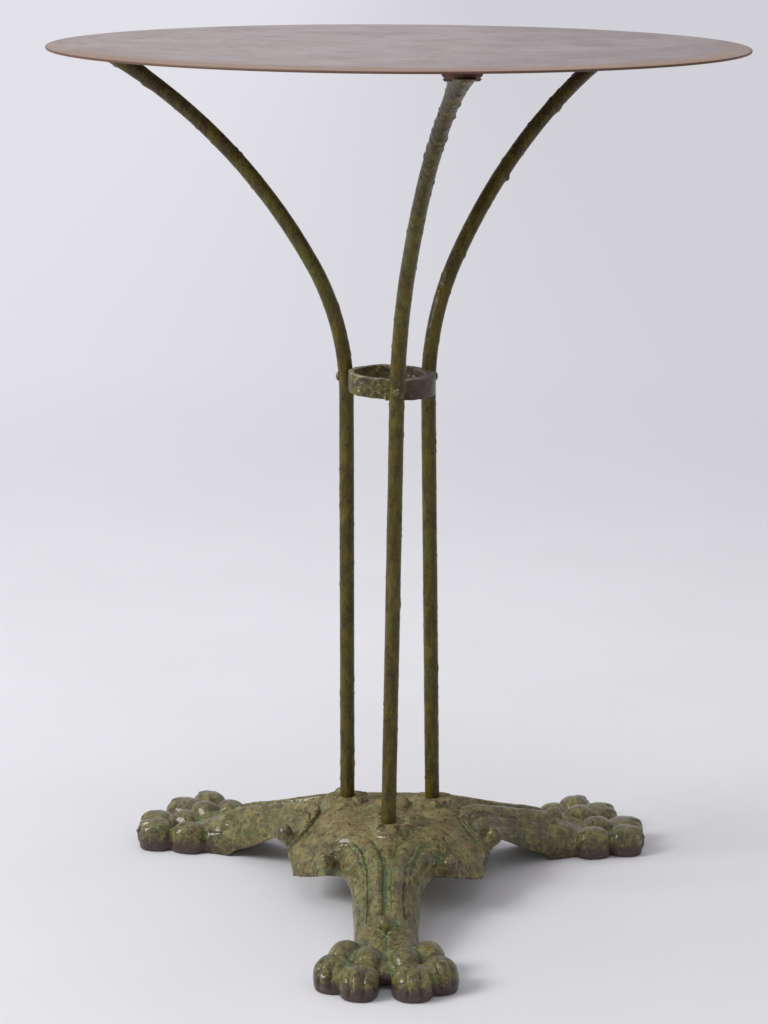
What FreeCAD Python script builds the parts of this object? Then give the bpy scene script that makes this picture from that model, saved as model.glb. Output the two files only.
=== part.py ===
import FreeCAD, Part
import math
import os
from FreeCAD import Matrix, Placement, Rotation, Vector

# Bistro table: a sheet-steel disc on three bent iron rods, tied by a riveted collar
# and bolted into a hollow cast-iron tripod with lion's-paw feet.
#
# The row frame has its origin on the floor under the centre of the table top, +Z up.
# The stand has a frame of its own, on the axis of the casting, which lies a little to
# one side of the top's centre and is turned slightly. Stand pieces are built in the
# stand frame and brought into the row frame by their Placement.
# In the stand frame a leg or rod has the direction -90, 30 or 150 degrees.

SIZES = [
    # table top
    ("top_diameter", 576, "diameter of the top"),
    ("top_height", 734, "floor to the upper face of the top"),
    ("top_sheet", 2, "thickness of the top's sheet"),
    ("top_edge_round", 0.6, "rounding of the top's rim"),
    ("top_offset", 3.7, "top centre beyond the stand's axis, along +X"),
    ("stand_turn", -1.06, "turn of the stand about +Z"),
    # rods
    ("rod_diameter", 12.4, "round bar"),
    ("rod_circle_radius", 43.5, "rod axes at the casting and at the collar"),
    ("rod_seat_height", 71, "rod shoulders on the casting's bosses"),
    ("rod_knee_height", 439, "where the rods start to bend"),
    ("lower_bend_radius", 214, "first bend of the rods"),
    ("lower_bend_angle", 31, "turn of the first bend"),
    ("tenon_diameter", 10, "threaded end of a rod"),
    ("tenon_tip", 3, "threaded end left below the nut"),
    # pads and their rivets
    ("pad_diameter", 30, "pad on a rod's upper end"),
    ("pad_thickness", 5, "pad thickness"),
    ("pad_bevel", 2.5, "bevel of the pad's lower edge"),
    ("pad_inset", 21.5, "pad's centre inside the rim of a top centred on the stand"),
    ("pad_rivet_spacing", 21.6, "between the two rivets of a pad"),
    ("pad_rivet_diameter", 5, "shank of a pad rivet"),
    ("pad_rivet_head", 9, "flush head of a pad rivet"),
    ("pad_rivet_sink", 1.5, "depth of the flush head"),
    ("pad_rivet_tail", 1.8, "height of the closed end under the pad"),
    ("pad_rivet_tail_diameter", 7.5, "closed end under the pad, against the pad"),
    # collar
    ("collar_height", 452, "middle of the collar"),
    ("collar_width", 17, "width of the collar's strip"),
    ("collar_strip", 4.6, "thickness of the collar's strip"),
    ("collar_lap_gap", 0.2, "between the two layers of the lap"),
    ("collar_outer_end", -98, "direction of the strip's outer end"),
    ("collar_inner_end", 50, "direction of the strip's inner end"),
    ("collar_step", 70, "angle over which the strip steps inwards"),
    ("collar_tilt", 1.6, "the collar hangs lower on its +X side"),
    ("collar_rivet_diameter", 4.8, "shank of a collar rivet"),
    ("collar_rivet_head", 9.6, "domed head on the rod"),
    ("collar_rivet_head_rise", 3, "how far the head stands off the rod"),
    ("collar_rivet_tail", 1.6, "height of the closed end in the collar"),
    ("collar_rivet_tail_diameter", 8, "closed end in the collar, against the strip"),
    ("collar_rivet_tail_tip", 6, "closed end in the collar, at its tip"),
    # hub of the casting
    ("casting_wall", 7, "wall of the casting"),
    ("hub_height", 72, "crown of the hub"),
    ("hub_dome_radius", 104.5, "half width of the hub's dome at the floor"),
    ("hub_corner_radius", 95.5, "pointed corners of the hub plate"),
    ("hub_edge_height", 25, "lower edge of the hub plate"),
    ("boss_diameter", 31, "boss round a rod"),
    ("boss_depth", 15, "rod shoulder to the washer"),
    ("gate_diameter", 26, "stub of the casting's gate on the crown"),
    ("gate_rise", 3.5, "height of that stub"),
    # volutes at the root of each leg
    ("knob_along", 73.5, "knob: distance along the leg"),
    ("knob_across", 52.6, "knob: distance across the leg"),
    ("knob_height", 45, "knob: height of its centre"),
    ("knob_radius", 7.5, "knob in the eye of a volute"),
    ("scroll_radius", 14, "scroll round the knob"),
    ("scroll_thickness", 9, "thickness of the scroll"),
    ("scroll_lean", 30, "scroll's slope away from the axis"),
    ("scroll_plate_drop", 5, "plate that closes the scroll, below its middle"),
    # legs
    ("leg_draft", 6, "how much a leg's sides lean inwards towards its lower edge"),
    ("leg_bead_along", 163, "bead on the ankle: distance along the leg"),
    ("leg_bead_height", 35, "bead: height of its centre"),
    ("leg_bead_radius", 7, "bead"),
    ("root_along", 77, "root of the leg: distance along the leg"),
    ("root_half_width", 42, "half width of the leg's root"),
    ("root_rib_height", 63, "ridge of the leg at its root"),
    ("root_side_height", 55, "shoulder of the leg at its root"),
    ("root_lower_height", 40, "lower edge of the leg at its root"),
    ("throat_along", 104, "throat, below the root: distance along the leg"),
    ("throat_half_width", 29.5, "half width of the throat"),
    ("throat_rib_height", 55, "ridge of the leg at the throat"),
    ("throat_side_height", 46.7, "shoulder of the leg at the throat"),
    ("throat_lower_height", 24, "lower edge of the leg at the throat"),
    ("shin_along", 129.5, "shin: distance along the leg"),
    ("shin_half_width", 27.5, "half width of the shin"),
    ("shin_rib_height", 47.6, "ridge of the leg at the shin"),
    ("shin_side_height", 38, "shoulder of the leg at the shin"),
    ("shin_lower_height", 10, "lower edge of the leg at the shin"),
    ("ankle_along", 152, "narrow ankle: distance along the leg"),
    ("ankle_half_width", 27.5, "half width of the ankle"),
    ("ankle_rib_height", 41, "ridge of the leg at the ankle"),
    ("ankle_side_height", 32, "shoulder of the leg at the ankle"),
    ("heel_half_width", 28.5, "half width under the bead"),
    ("heel_rib_height", 38, "ridge of the leg under the bead"),
    ("instep_along", 185, "instep: distance along the leg"),
    ("instep_half_width", 35, "half width of the instep"),
    ("instep_rib_height", 29, "ridge of the leg at the instep"),
    ("instep_side_height", 23, "shoulder of the leg at the instep"),
    # paws
    ("paw_along", 212, "front of the paw's body"),
    ("paw_half_width", 44, "half width of the paw's body"),
    ("paw_body_height", 18, "height of the paw's body"),
    ("paw_side_height", 14, "shoulder of the paw's body"),
    ("inner_toe_along", 239, "inner toes: distance along the leg"),
    ("inner_toe_across", 21.3, "inner toes: distance across the leg"),
    ("inner_toe_length", 36, "inner toes: length"),
    ("inner_toe_width", 33.5, "inner toes: width"),
    ("inner_toe_top", 24, "inner toes: height"),
    ("outer_toe_along", 226, "outer toes: distance along the leg"),
    ("outer_toe_across", 42.5, "outer toes: distance across the leg"),
    ("outer_toe_length", 33, "outer toes: length"),
    ("outer_toe_width", 30, "outer toes: width"),
    ("outer_toe_top", 26.5, "outer toes: height"),
    ("inner_knuckle_along", 212, "inner knuckles: distance along the leg"),
    ("inner_knuckle_across", 15, "inner knuckles: distance across the leg"),
    ("inner_knuckle_length", 30, "inner knuckles: length"),
    ("inner_knuckle_width", 26, "inner knuckles: width"),
    ("inner_knuckle_top", 28.5, "inner knuckles: height"),
    ("outer_knuckle_along", 195, "outer knuckles: distance along the leg"),
    ("outer_knuckle_across", 34, "outer knuckles: distance across the leg"),
    ("outer_knuckle_length", 30, "outer knuckles: length"),
    ("outer_knuckle_width", 27, "outer knuckles: width"),
    ("outer_knuckle_top", 27, "outer knuckles: height"),
    ("toe_centre_height", 9, "height of the widest part of toes and knuckles"),
    ("sole_allowance", 2, "ground off the paws to make one flat sole"),
    # washers and nuts under the hub
    ("washer_diameter", 21, "plain washer"),
    ("washer_thickness", 2, "washer thickness"),
    ("nut_width", 17, "square nut, across flats"),
    ("nut_thickness", 8, "nut thickness"),
    ("nut_turning_diameter", 19, "round lower face of the nut, inside the turned-off corners"),
    # clearances
    ("hole_clearance", 0.15, "radial play of a shank in its hole"),
    ("contact_gap", 0.3, "play between a rod and the collar"),
]

# Each rod was bent and riveted by hand, so each has its own directions: of its leg,
# and how far beyond that it stands at the collar and bends outwards.
RODS = {
    "left": {"leg": 150, "knee_turn": 4.3, "bend_turn": 14.5},
    "right": {"leg": 30, "knee_turn": 14.9, "bend_turn": 8.3},
    "front": {"leg": -90, "knee_turn": 6.2, "bend_turn": 11.7},
}

doc = FreeCAD.newDocument("bistro_table")
sheet = doc.addObject("Spreadsheet::Sheet", "sizes")
for row, (alias, value, meaning) in enumerate(SIZES, start=1):
    sheet.set(f"A{row}", meaning)
    sheet.set(f"B{row}", str(value))
    sheet.setAlias(f"B{row}", alias)
doc.recompute()
size = {alias: float(sheet.get(alias)) for alias, _, _ in SIZES}

subparts = []


def add(kind, name, place=None, numbers=None, **expressions):
    """A document object with a placement, computed numbers and bound sizes."""
    thing = doc.addObject(kind, name)
    for prop, value in (numbers or {}).items():
        setattr(thing, prop, value)
    for prop, text in expressions.items():
        thing.setExpression(prop, text)
    if place is not None:
        thing.Placement = place
    return thing


def fuse(name, shapes, place=None):
    thing = doc.addObject("Part::MultiFuse", name)
    thing.Shapes = shapes
    if place is not None:
        thing.Placement = place
    return thing


def cut(name, base, tools, place=None):
    thing = doc.addObject("Part::Cut", name)
    thing.Base = base
    thing.Tool = tools[0] if len(tools) == 1 else fuse(name + "_tools", tools)
    if place is not None:
        thing.Placement = place
    return thing


def subpart(thing, name):
    thing.Label = name
    subparts.append(thing)


def frame(origin, x_axis, z_axis):
    """The placement with this origin, this Z axis and its X axis nearest to x_axis."""
    z = Vector(z_axis).normalize()
    y = z.cross(x_axis).normalize()
    x = y.cross(z)
    return Placement(Matrix(x.x, y.x, z.x, origin.x,
                            x.y, y.y, z.y, origin.y,
                            x.z, y.z, z.z, origin.z,
                            0, 0, 0, 1))


def level(direction):
    """The horizontal unit vector in this direction, in degrees."""
    angle = math.radians(direction)
    return Vector(math.cos(angle), math.sin(angle), 0)


UP = Vector(0, 0, 1)
stand = Placement(Vector(-size["top_offset"], 0, 0), Rotation(UP, size["stand_turn"]))
pad_underside = size["top_height"] - size["top_sheet"] - size["pad_thickness"]


# Rod layout ------------------------------------------------------------------------

def rod_layout(rod):
    """The rod's own frame and its bends.

    The frame's origin is where the shoulder sits on the boss, its Z runs along the
    straight stretch and the rod bends towards its X. The second bend is the arc that
    goes on from the first one and ends at the pad.
    """
    circle = size["rod_circle_radius"]
    foot = circle * level(rod["leg"]) + size["rod_seat_height"] * UP
    knee = circle * level(rod["leg"] + rod["knee_turn"]) + size["rod_knee_height"] * UP
    base = frame(foot, level(rod["leg"] + rod["bend_turn"]), knee - foot)
    outwards = base.Rotation.multVec(Vector(1, 0, 0))
    along = base.Rotation.multVec(UP)
    straight = (knee - foot).Length
    angle = math.radians(size["lower_bend_angle"])
    radius = size["lower_bend_radius"]
    middle = Vector(radius * (1 - math.cos(angle)), 0, straight + radius * math.sin(angle))
    # the axis ends at the pads' height and on the pads' circle: reach is how far it
    # has then run outwards from the line of its straight stretch
    above_foot = foot + along * ((pad_underside - foot.z) / along.z)
    sideways = outwards - along * (outwards.z / along.z)
    pad_circle_radius = size["top_diameter"] / 2 - size["pad_inset"]
    off_axis = Vector(above_foot.x, above_foot.y, 0)
    half = off_axis.dot(sideways)
    spare = pad_circle_radius ** 2 - off_axis.Length ** 2
    slant = sideways.Length ** 2
    reach = (math.sqrt(half ** 2 + slant * spare) - half) / slant
    end = Vector(reach, 0, (pad_underside - foot.z - reach * outwards.z) / along.z)
    side = (end - middle).dot(Vector(math.cos(angle), 0, -math.sin(angle)))
    ahead = (end - middle).dot(Vector(math.sin(angle), 0, math.cos(angle)))
    upper_angle = 2 * math.atan2(side, ahead)
    upper_radius = (side * side + ahead * ahead) / (2 * side)
    return {"base": base, "straight": straight, "middle": middle, "end": end,
            "upper_angle": upper_angle, "upper_radius": upper_radius,
            "end_point": base.multVec(end), "bend_direction": rod["leg"] + rod["bend_turn"]}


def rod_point(layout, height):
    """The rod's axis at this height, on the straight stretch or on the first bend."""
    base = layout["base"]
    along = base.Rotation.multVec(UP)
    travel = (height - base.Base.z) / along.z
    past_knee = max(travel - layout["straight"], 0)
    radius = size["lower_bend_radius"]
    sideways = radius - math.sqrt(radius ** 2 - past_knee ** 2)
    return base.multVec(Vector(sideways, 0, travel))


layouts = {name: rod_layout(rod) for name, rod in RODS.items()}


# Collar layout ---------------------------------------------------------------------

collar_outer_radius = size["rod_circle_radius"] - size["rod_diameter"] / 2 - size["contact_gap"]
collar_pitch = size["collar_strip"] + size["collar_lap_gap"]
collar_tilt = Rotation(Vector(0, 1, 0), size["collar_tilt"])
collar_place = Placement(size["collar_height"] * UP, collar_tilt)


def collar_rivet_frame(name):
    """Z runs along the rivet, outwards; the origin is on the rod's axis."""
    point = rod_point(layouts[name], size["collar_height"])
    direction = math.degrees(math.atan2(point.y, point.x))
    drop = math.tan(math.radians(size["collar_tilt"])) * point.x
    centre = rod_point(layouts[name], size["collar_height"] - drop)
    return frame(centre, UP, level(direction)), direction


def collar_inner_radius(direction):
    """Inner face of the collar: two layers thick in the lap, one elsewhere."""
    lap = size["collar_inner_end"] - size["collar_outer_end"]
    in_lap = (direction - size["collar_outer_end"]) % 360 < lap
    layers = collar_pitch if in_lap else 0
    return collar_outer_radius - size["collar_strip"] - layers


# Pads ------------------------------------------------------------------------------

def pad_frame(name):
    """On the pad's lower face, with X along the bend."""
    layout = layouts[name]
    return frame(layout["end_point"], level(layout["bend_direction"]), UP)


def pad_rivet_frames(name):
    offset = size["pad_rivet_spacing"] / 2
    return [pad_frame(name).multiply(Placement(Vector(0, side * offset, 0), Rotation()))
            for side in (-1, 1)]


def pad_rivet_drills(name, tag):
    """Shank holes through pad and top for one pad's two rivets, in the stand frame."""
    drills = []
    for number, place in enumerate(pad_rivet_frames(name), start=1):
        drills.append(add(
            "Part::Cylinder", f"{tag}_drill_{name}_{number}", place,
            Radius="sizes.pad_rivet_diameter / 2 + sizes.hole_clearance",
            Height="sizes.pad_thickness + 2 * sizes.top_sheet"))
    return drills


# Table top: a disc cut from sheet, drilled and countersunk for the pad rivets -----------

def make_table_top():
    underside = size["top_height"] - size["top_sheet"]
    disc = add("Part::Cylinder", "top_disc", Placement(underside * UP, Rotation()),
               Radius="sizes.top_diameter / 2", Height="sizes.top_sheet")
    doc.recompute()
    rim = doc.addObject("Part::Fillet", "top_rim")
    rim.Base = disc
    rim.Edges = [(number, size["top_edge_round"], size["top_edge_round"])
                 for number, edge in enumerate(disc.Shape.Edges, start=1)
                 if edge.Curve.TypeId == "Part::GeomCircle"]
    tools = []
    for name in RODS:
        tools += pad_rivet_drills(name, "top")
        for number, place in enumerate(pad_rivet_frames(name), start=1):
            depth = size["pad_rivet_sink"]
            rise = size["pad_thickness"] + size["top_sheet"] - depth
            tools.append(add(
                "Part::Cone", f"top_sink_{name}_{number}",
                place.multiply(Placement(rise * UP, Rotation())),
                Radius1="sizes.pad_rivet_diameter / 2 + sizes.hole_clearance",
                Radius2="sizes.pad_rivet_head / 2 + sizes.hole_clearance",
                Height="sizes.pad_rivet_sink"))
    drills = fuse("top_drills", tools, stand)
    subpart(cut("table_top", rim, [drills]), "table_top")


# Rods: straight bar, two bends, a shoulder and tenon below, cut off level under the pad --

def make_rod(name):
    layout = layouts[name]
    base = layout["base"]
    lower_angle = size["lower_bend_angle"]
    upper_angle = math.degrees(layout["upper_angle"])
    total = math.radians(lower_angle + upper_angle)
    towards_centre = Vector(math.cos(total), 0, -math.sin(total))
    upper_centre = layout["end"] + layout["upper_radius"] * towards_centre
    lower_centre = Vector(size["lower_bend_radius"], 0, layout["straight"])
    parts = [
        add("Part::Cylinder", f"rod_straight_{name}", base, {"Height": layout["straight"]},
            Radius="sizes.rod_diameter / 2"),
        add("Part::Torus", f"rod_lower_bend_{name}",
            base.multiply(frame(lower_centre, Vector(-1, 0, 0), Vector(0, 1, 0))),
            Radius1="sizes.lower_bend_radius", Radius2="sizes.rod_diameter / 2",
            Angle3="sizes.lower_bend_angle"),
        add("Part::Torus", f"rod_upper_bend_{name}",
            base.multiply(frame(upper_centre, layout["middle"] - upper_centre, Vector(0, 1, 0))),
            {"Radius1": layout["upper_radius"], "Angle3": upper_angle},
            Radius2="sizes.rod_diameter / 2"),
        add("Part::Cylinder", f"rod_end_{name}",
            base.multiply(frame(layout["end"], Vector(0, 1, 0),
                                Vector(math.sin(total), 0, math.cos(total)))),
            Radius="sizes.rod_diameter / 2", Height="4 * sizes.rod_diameter"),
        add("Part::Cylinder", f"rod_tenon_{name}",
            base.multiply(Placement(-tenon_length() * UP, Rotation())),
            {"Height": tenon_length()}, Radius="sizes.tenon_diameter / 2"),
    ]
    bar = fuse(f"rod_bar_{name}", parts)
    above_pad = add("Part::Cylinder", f"rod_trim_{name}",
                    Placement(pad_underside * UP, Rotation()),
                    Radius="sizes.top_diameter", Height="8 * sizes.rod_diameter")
    hole = collar_drill(name, "rod")
    subpart(cut(f"rod_{name}", bar, [above_pad, hole], stand), f"rod_{name}")


def nut_drop():
    """From the rod's shoulder down to the nut's lower face."""
    return size["boss_depth"] + size["washer_thickness"] + size["nut_thickness"]


def tenon_length():
    return nut_drop() + size["tenon_tip"]


def collar_drill(name, tag):
    """Hole for a collar rivet through rod and collar."""
    place, _ = collar_rivet_frame(name)
    start = -size["rod_circle_radius"] / 2 * UP
    return add("Part::Cylinder", f"{tag}_rivet_hole_{name}",
               place.multiply(Placement(start, Rotation())),
               Radius="sizes.collar_rivet_diameter / 2 + sizes.hole_clearance",
               Height="sizes.rod_circle_radius / 2 + sizes.rod_diameter")


def make_pad(name):
    """Round plate under the top, bevelled below, on the rod's upper end."""
    place = pad_frame(name)
    plate = add("Part::Cylinder", f"pad_plate_{name}",
                place.multiply(Placement(size["pad_bevel"] * UP, Rotation())),
                Radius="sizes.pad_diameter / 2", Height="sizes.pad_thickness - sizes.pad_bevel")
    bevel = add("Part::Cone", f"pad_bevel_{name}", place,
                Radius1="sizes.pad_diameter / 2 - sizes.pad_bevel",
                Radius2="sizes.pad_diameter / 2", Height="sizes.pad_bevel")
    blank = fuse(f"pad_blank_{name}", [plate, bevel])
    drills = pad_rivet_drills(name, "pad")
    subpart(cut(f"top_pad_{name}", blank, drills, stand), f"top_pad_{name}")


def make_pad_rivets(name):
    """Two rivets: a flush head in the top, a closed end under the pad."""
    pieces = []
    grip = size["pad_thickness"] + size["top_sheet"] - size["pad_rivet_sink"]
    for number, place in enumerate(pad_rivet_frames(name), start=1):
        tag = f"{name}_{number}"
        pieces += [
            add("Part::Cylinder", f"pad_rivet_shank_{tag}", place, {"Height": grip},
                Radius="sizes.pad_rivet_diameter / 2"),
            add("Part::Cone", f"pad_rivet_head_{tag}",
                place.multiply(Placement(grip * UP, Rotation())),
                Radius1="sizes.pad_rivet_diameter / 2", Radius2="sizes.pad_rivet_head / 2",
                Height="sizes.pad_rivet_sink"),
            add("Part::Cone", f"pad_rivet_tail_{tag}",
                place.multiply(Placement(-size["pad_rivet_tail"] * UP, Rotation())),
                Radius1="sizes.pad_rivet_diameter / 2",
                Radius2="sizes.pad_rivet_tail_diameter / 2",
                Height="sizes.pad_rivet_tail"),
        ]
    subpart(fuse(f"top_rivets_{name}", pieces, stand), f"top_rivets_{name}")


# Collar: one strip bent to a ring, stepped inwards where its end laps inside itself ------

def collar_edge(inset):
    """Edges of one face of the strip, this far inside the outer face, outer end first."""
    outer_end = size["collar_outer_end"]
    step_start = outer_end + 360 - size["collar_step"]
    radius = collar_outer_radius - inset
    first = radius * level(outer_end)
    middle = radius * level((outer_end + step_start) / 2)
    last = radius * level(step_start)
    round_part = Part.Arc(first, middle, last).toShape()
    points = []
    for part in range(9):
        share = part / 8
        eased = share * share * (3 - 2 * share)
        direction = step_start + share * size["collar_step"]
        points.append((radius - collar_pitch * eased) * level(direction))
    step = Part.BSplineCurve()
    tangents = [round_tangent(step_start), round_tangent(outer_end + 360)]
    step.interpolate(Points=points, InitialTangent=tangents[0], FinalTangent=tangents[1])
    inner = radius - collar_pitch
    lap = [inner * level(outer_end + share * (size["collar_inner_end"] - outer_end))
           for share in (0, 0.5, 1)]
    lap_part = Part.Arc(*lap).toShape()
    return [round_part, step.toShape(), lap_part]


def round_tangent(direction):
    return level(direction + 90)


def make_collar():
    outer = collar_edge(0)
    inner = collar_edge(size["collar_strip"])
    ends = []
    strip_ends = ((size["collar_outer_end"], 0), (size["collar_inner_end"], collar_pitch))
    for direction, inset in strip_ends:
        outer_point = (collar_outer_radius - inset) * level(direction)
        inner_point = (collar_outer_radius - inset - size["collar_strip"]) * level(direction)
        ends.append(Part.LineSegment(outer_point, inner_point).toShape())
    outline = Part.Wire(Part.__sortEdges__(outer + inner + ends))
    blank = doc.addObject("Part::Feature", "collar_strip_blank")
    blank.Shape = Part.Face(outline).extrude(size["collar_width"] * UP)
    blank.Placement = collar_place.multiply(Placement(-size["collar_width"] / 2 * UP, Rotation()))
    drills = [collar_drill(name, "collar") for name in RODS]
    subpart(cut("collar_ring", blank, drills, stand), "collar_ring")


def make_collar_rivet(name):
    """Domed head wrapped on the rod, closed end inside the collar."""
    place, direction = collar_rivet_frame(name)
    rod_radius = size["rod_diameter"] / 2
    tail_radius = size["collar_rivet_tail_diameter"] / 2
    # the flat closed end stays clear of the collar's hollow inner face, which leans
    lean = math.tan(math.radians(size["collar_tilt"])) * tail_radius
    inner_face = math.sqrt(collar_inner_radius(direction) ** 2 - tail_radius ** 2)
    axis_distance = math.hypot(place.Base.x, place.Base.y)
    shank_start = inner_face - lean - size["hole_clearance"] - axis_distance
    rise = size["collar_rivet_head_rise"]
    crest = rod_radius + rise
    head_radius = size["collar_rivet_head"] / 2
    ball_radius = (head_radius ** 2 + rise ** 2) / (2 * rise)
    ball = add("Part::Sphere", f"collar_rivet_ball_{name}",
               place.multiply(Placement((crest - ball_radius) * UP, Rotation())),
               {"Radius": ball_radius})
    barrel = add("Part::Cylinder", f"collar_rivet_barrel_{name}", place, {"Height": crest},
                 Radius="sizes.collar_rivet_head / 2")
    dome = doc.addObject("Part::Common", f"collar_rivet_dome_{name}")
    dome.Base = barrel
    dome.Tool = ball
    skirt = add("Part::Cylinder", f"collar_rivet_skirt_{name}", place, {"Height": rod_radius},
                Radius="sizes.collar_rivet_head / 2")
    blank = fuse(f"collar_rivet_blank_{name}", [dome, skirt])
    layout = layouts[name]
    below = rod_point(layout, place.Base.z - size["collar_rivet_head"])
    above = rod_point(layout, place.Base.z + size["collar_rivet_head"])
    along = (above - below).normalize()
    rod_core = add("Part::Cylinder", f"collar_rivet_rod_{name}",
                   frame(place.Base - size["collar_width"] * along, level(direction), along),
                   Radius="sizes.rod_diameter / 2 + sizes.contact_gap",
                   Height="2 * sizes.collar_width")
    head = cut(f"collar_rivet_head_{name}", blank, [rod_core])
    shank = add("Part::Cylinder", f"collar_rivet_shank_{name}",
                place.multiply(Placement(shank_start * UP, Rotation())),
                {"Height": rod_radius - shank_start + rise / 2},
                Radius="sizes.collar_rivet_diameter / 2")
    tail_start = shank_start - size["collar_rivet_tail"]
    tail = add("Part::Cone", f"collar_rivet_tail_{name}",
               place.multiply(Placement(tail_start * UP, Rotation())),
               Radius1="sizes.collar_rivet_tail_tip / 2",
               Radius2="sizes.collar_rivet_tail_diameter / 2",
               Height="sizes.collar_rivet_tail")
    subpart(fuse(f"collar_rivet_{name}", [head, shank, tail], stand), f"collar_rivet_{name}")


# Casting ---------------------------------------------------------------------------------
# Each leg is made along +X, as "along", with +Y as "across", and turned to its direction.

def leg_stations():
    """Cross-sections of a leg: along, half width, shoulder, ridge and lower edge heights."""
    ground = -size["sole_allowance"]
    inside_rib = size["rod_seat_height"] - size["casting_wall"] / 2
    return [
        (size["rod_circle_radius"] / 2, size["root_half_width"], size["root_side_height"],
         inside_rib, size["root_lower_height"]),
        (size["root_along"], size["root_half_width"], size["root_side_height"],
         size["root_rib_height"], size["root_lower_height"]),
        (size["throat_along"], size["throat_half_width"], size["throat_side_height"],
         size["throat_rib_height"], size["throat_lower_height"]),
        (size["shin_along"], size["shin_half_width"], size["shin_side_height"],
         size["shin_rib_height"], size["shin_lower_height"]),
        (size["ankle_along"], size["ankle_half_width"], size["ankle_side_height"],
         size["ankle_rib_height"], ground),
        (size["ankle_along"] + size["leg_bead_radius"], size["heel_half_width"],
         size["ankle_side_height"], size["heel_rib_height"], ground),
        (size["instep_along"], size["instep_half_width"], size["instep_side_height"],
         size["instep_rib_height"], ground),
        (size["paw_along"], size["paw_half_width"], size["paw_side_height"],
         size["paw_body_height"], ground),
    ]


def leg_section(station, inset, drop):
    """A wire across the leg: flat below, sides leaning inwards, arched top."""
    along, half_width, side, ridge, lower = station
    half_width -= inset
    side -= inset
    ridge -= inset
    lower -= drop
    foot = half_width - size["leg_draft"]
    corners = [Vector(along, -foot, lower), Vector(along, foot, lower),
               Vector(along, half_width, side), Vector(along, -half_width, side)]
    edges = [Part.LineSegment(corners[0], corners[1]).toShape(),
             Part.LineSegment(corners[1], corners[2]).toShape(),
             Part.Arc(corners[2], Vector(along, 0, ridge), corners[3]).toShape(),
             Part.LineSegment(corners[3], corners[0]).toShape()]
    return Part.Wire(edges)


def loft(name, stations, inset, drop, place):
    sections = []
    for number, station in enumerate(stations, start=1):
        section = doc.addObject("Part::Feature", f"{name}_section_{number}")
        section.Shape = leg_section(station, inset, drop)
        section.Placement = place
        sections.append(section)
    thing = doc.addObject("Part::Loft", name)
    thing.Sections = sections
    thing.Solid = True
    thing.Ruled = True
    return thing


def bump(name, kind, side, place):
    """A toe or knuckle: an ellipsoid whose widest part is at the toe centre height."""
    centre = Vector(size[f"{kind}_along"], side * size[f"{kind}_across"],
                    size["toe_centre_height"])
    return add("Part::Ellipsoid", name, place.multiply(Placement(centre, Rotation())),
               {"Angle1": -90, "Angle2": 90, "Angle3": 360},
               Radius1=f"sizes.{kind}_top - sizes.toe_centre_height",
               Radius2=f"sizes.{kind}_length / 2", Radius3=f"sizes.{kind}_width / 2")


def leg_parts(name, direction):
    place = Placement(Vector(), Rotation(UP, direction))
    parts = [loft(f"leg_{name}", leg_stations(), 0, 0, place)]
    bead = Vector(size["leg_bead_along"], 0, size["leg_bead_height"])
    parts.append(add("Part::Sphere", f"bead_{name}", place.multiply(Placement(bead, Rotation())),
                     Radius="sizes.leg_bead_radius"))
    for side in (-1, 1):
        tag = f"{name}_{'clockwise' if side < 0 else 'anticlockwise'}"
        for kind in ("inner_toe", "outer_toe", "inner_knuckle", "outer_knuckle"):
            parts.append(bump(f"{kind}_{tag}", kind, side, place))
        knob = Vector(size["knob_along"], side * size["knob_across"], size["knob_height"])
        parts.append(add("Part::Sphere", f"knob_{tag}",
                         place.multiply(Placement(knob, Rotation())),
                         Radius="sizes.knob_radius"))
        outwards = Vector(knob.x, knob.y, 0).normalize()
        lean = Rotation(UP.cross(outwards), size["scroll_lean"])
        scroll = knob - size["knob_radius"] * UP
        scroll_plate = scroll - size["scroll_plate_drop"] * UP
        parts.append(add("Part::Cylinder", f"scroll_plate_{tag}",
                         place.multiply(Placement(scroll_plate, lean)),
                         Radius="sizes.scroll_radius", Height="sizes.casting_wall"))
        parts.append(add("Part::Torus", f"scroll_{tag}", place.multiply(Placement(scroll, lean)),
                         Radius1="sizes.scroll_radius - sizes.scroll_thickness / 4",
                         Radius2="sizes.scroll_thickness / 2"))
    return parts


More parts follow.
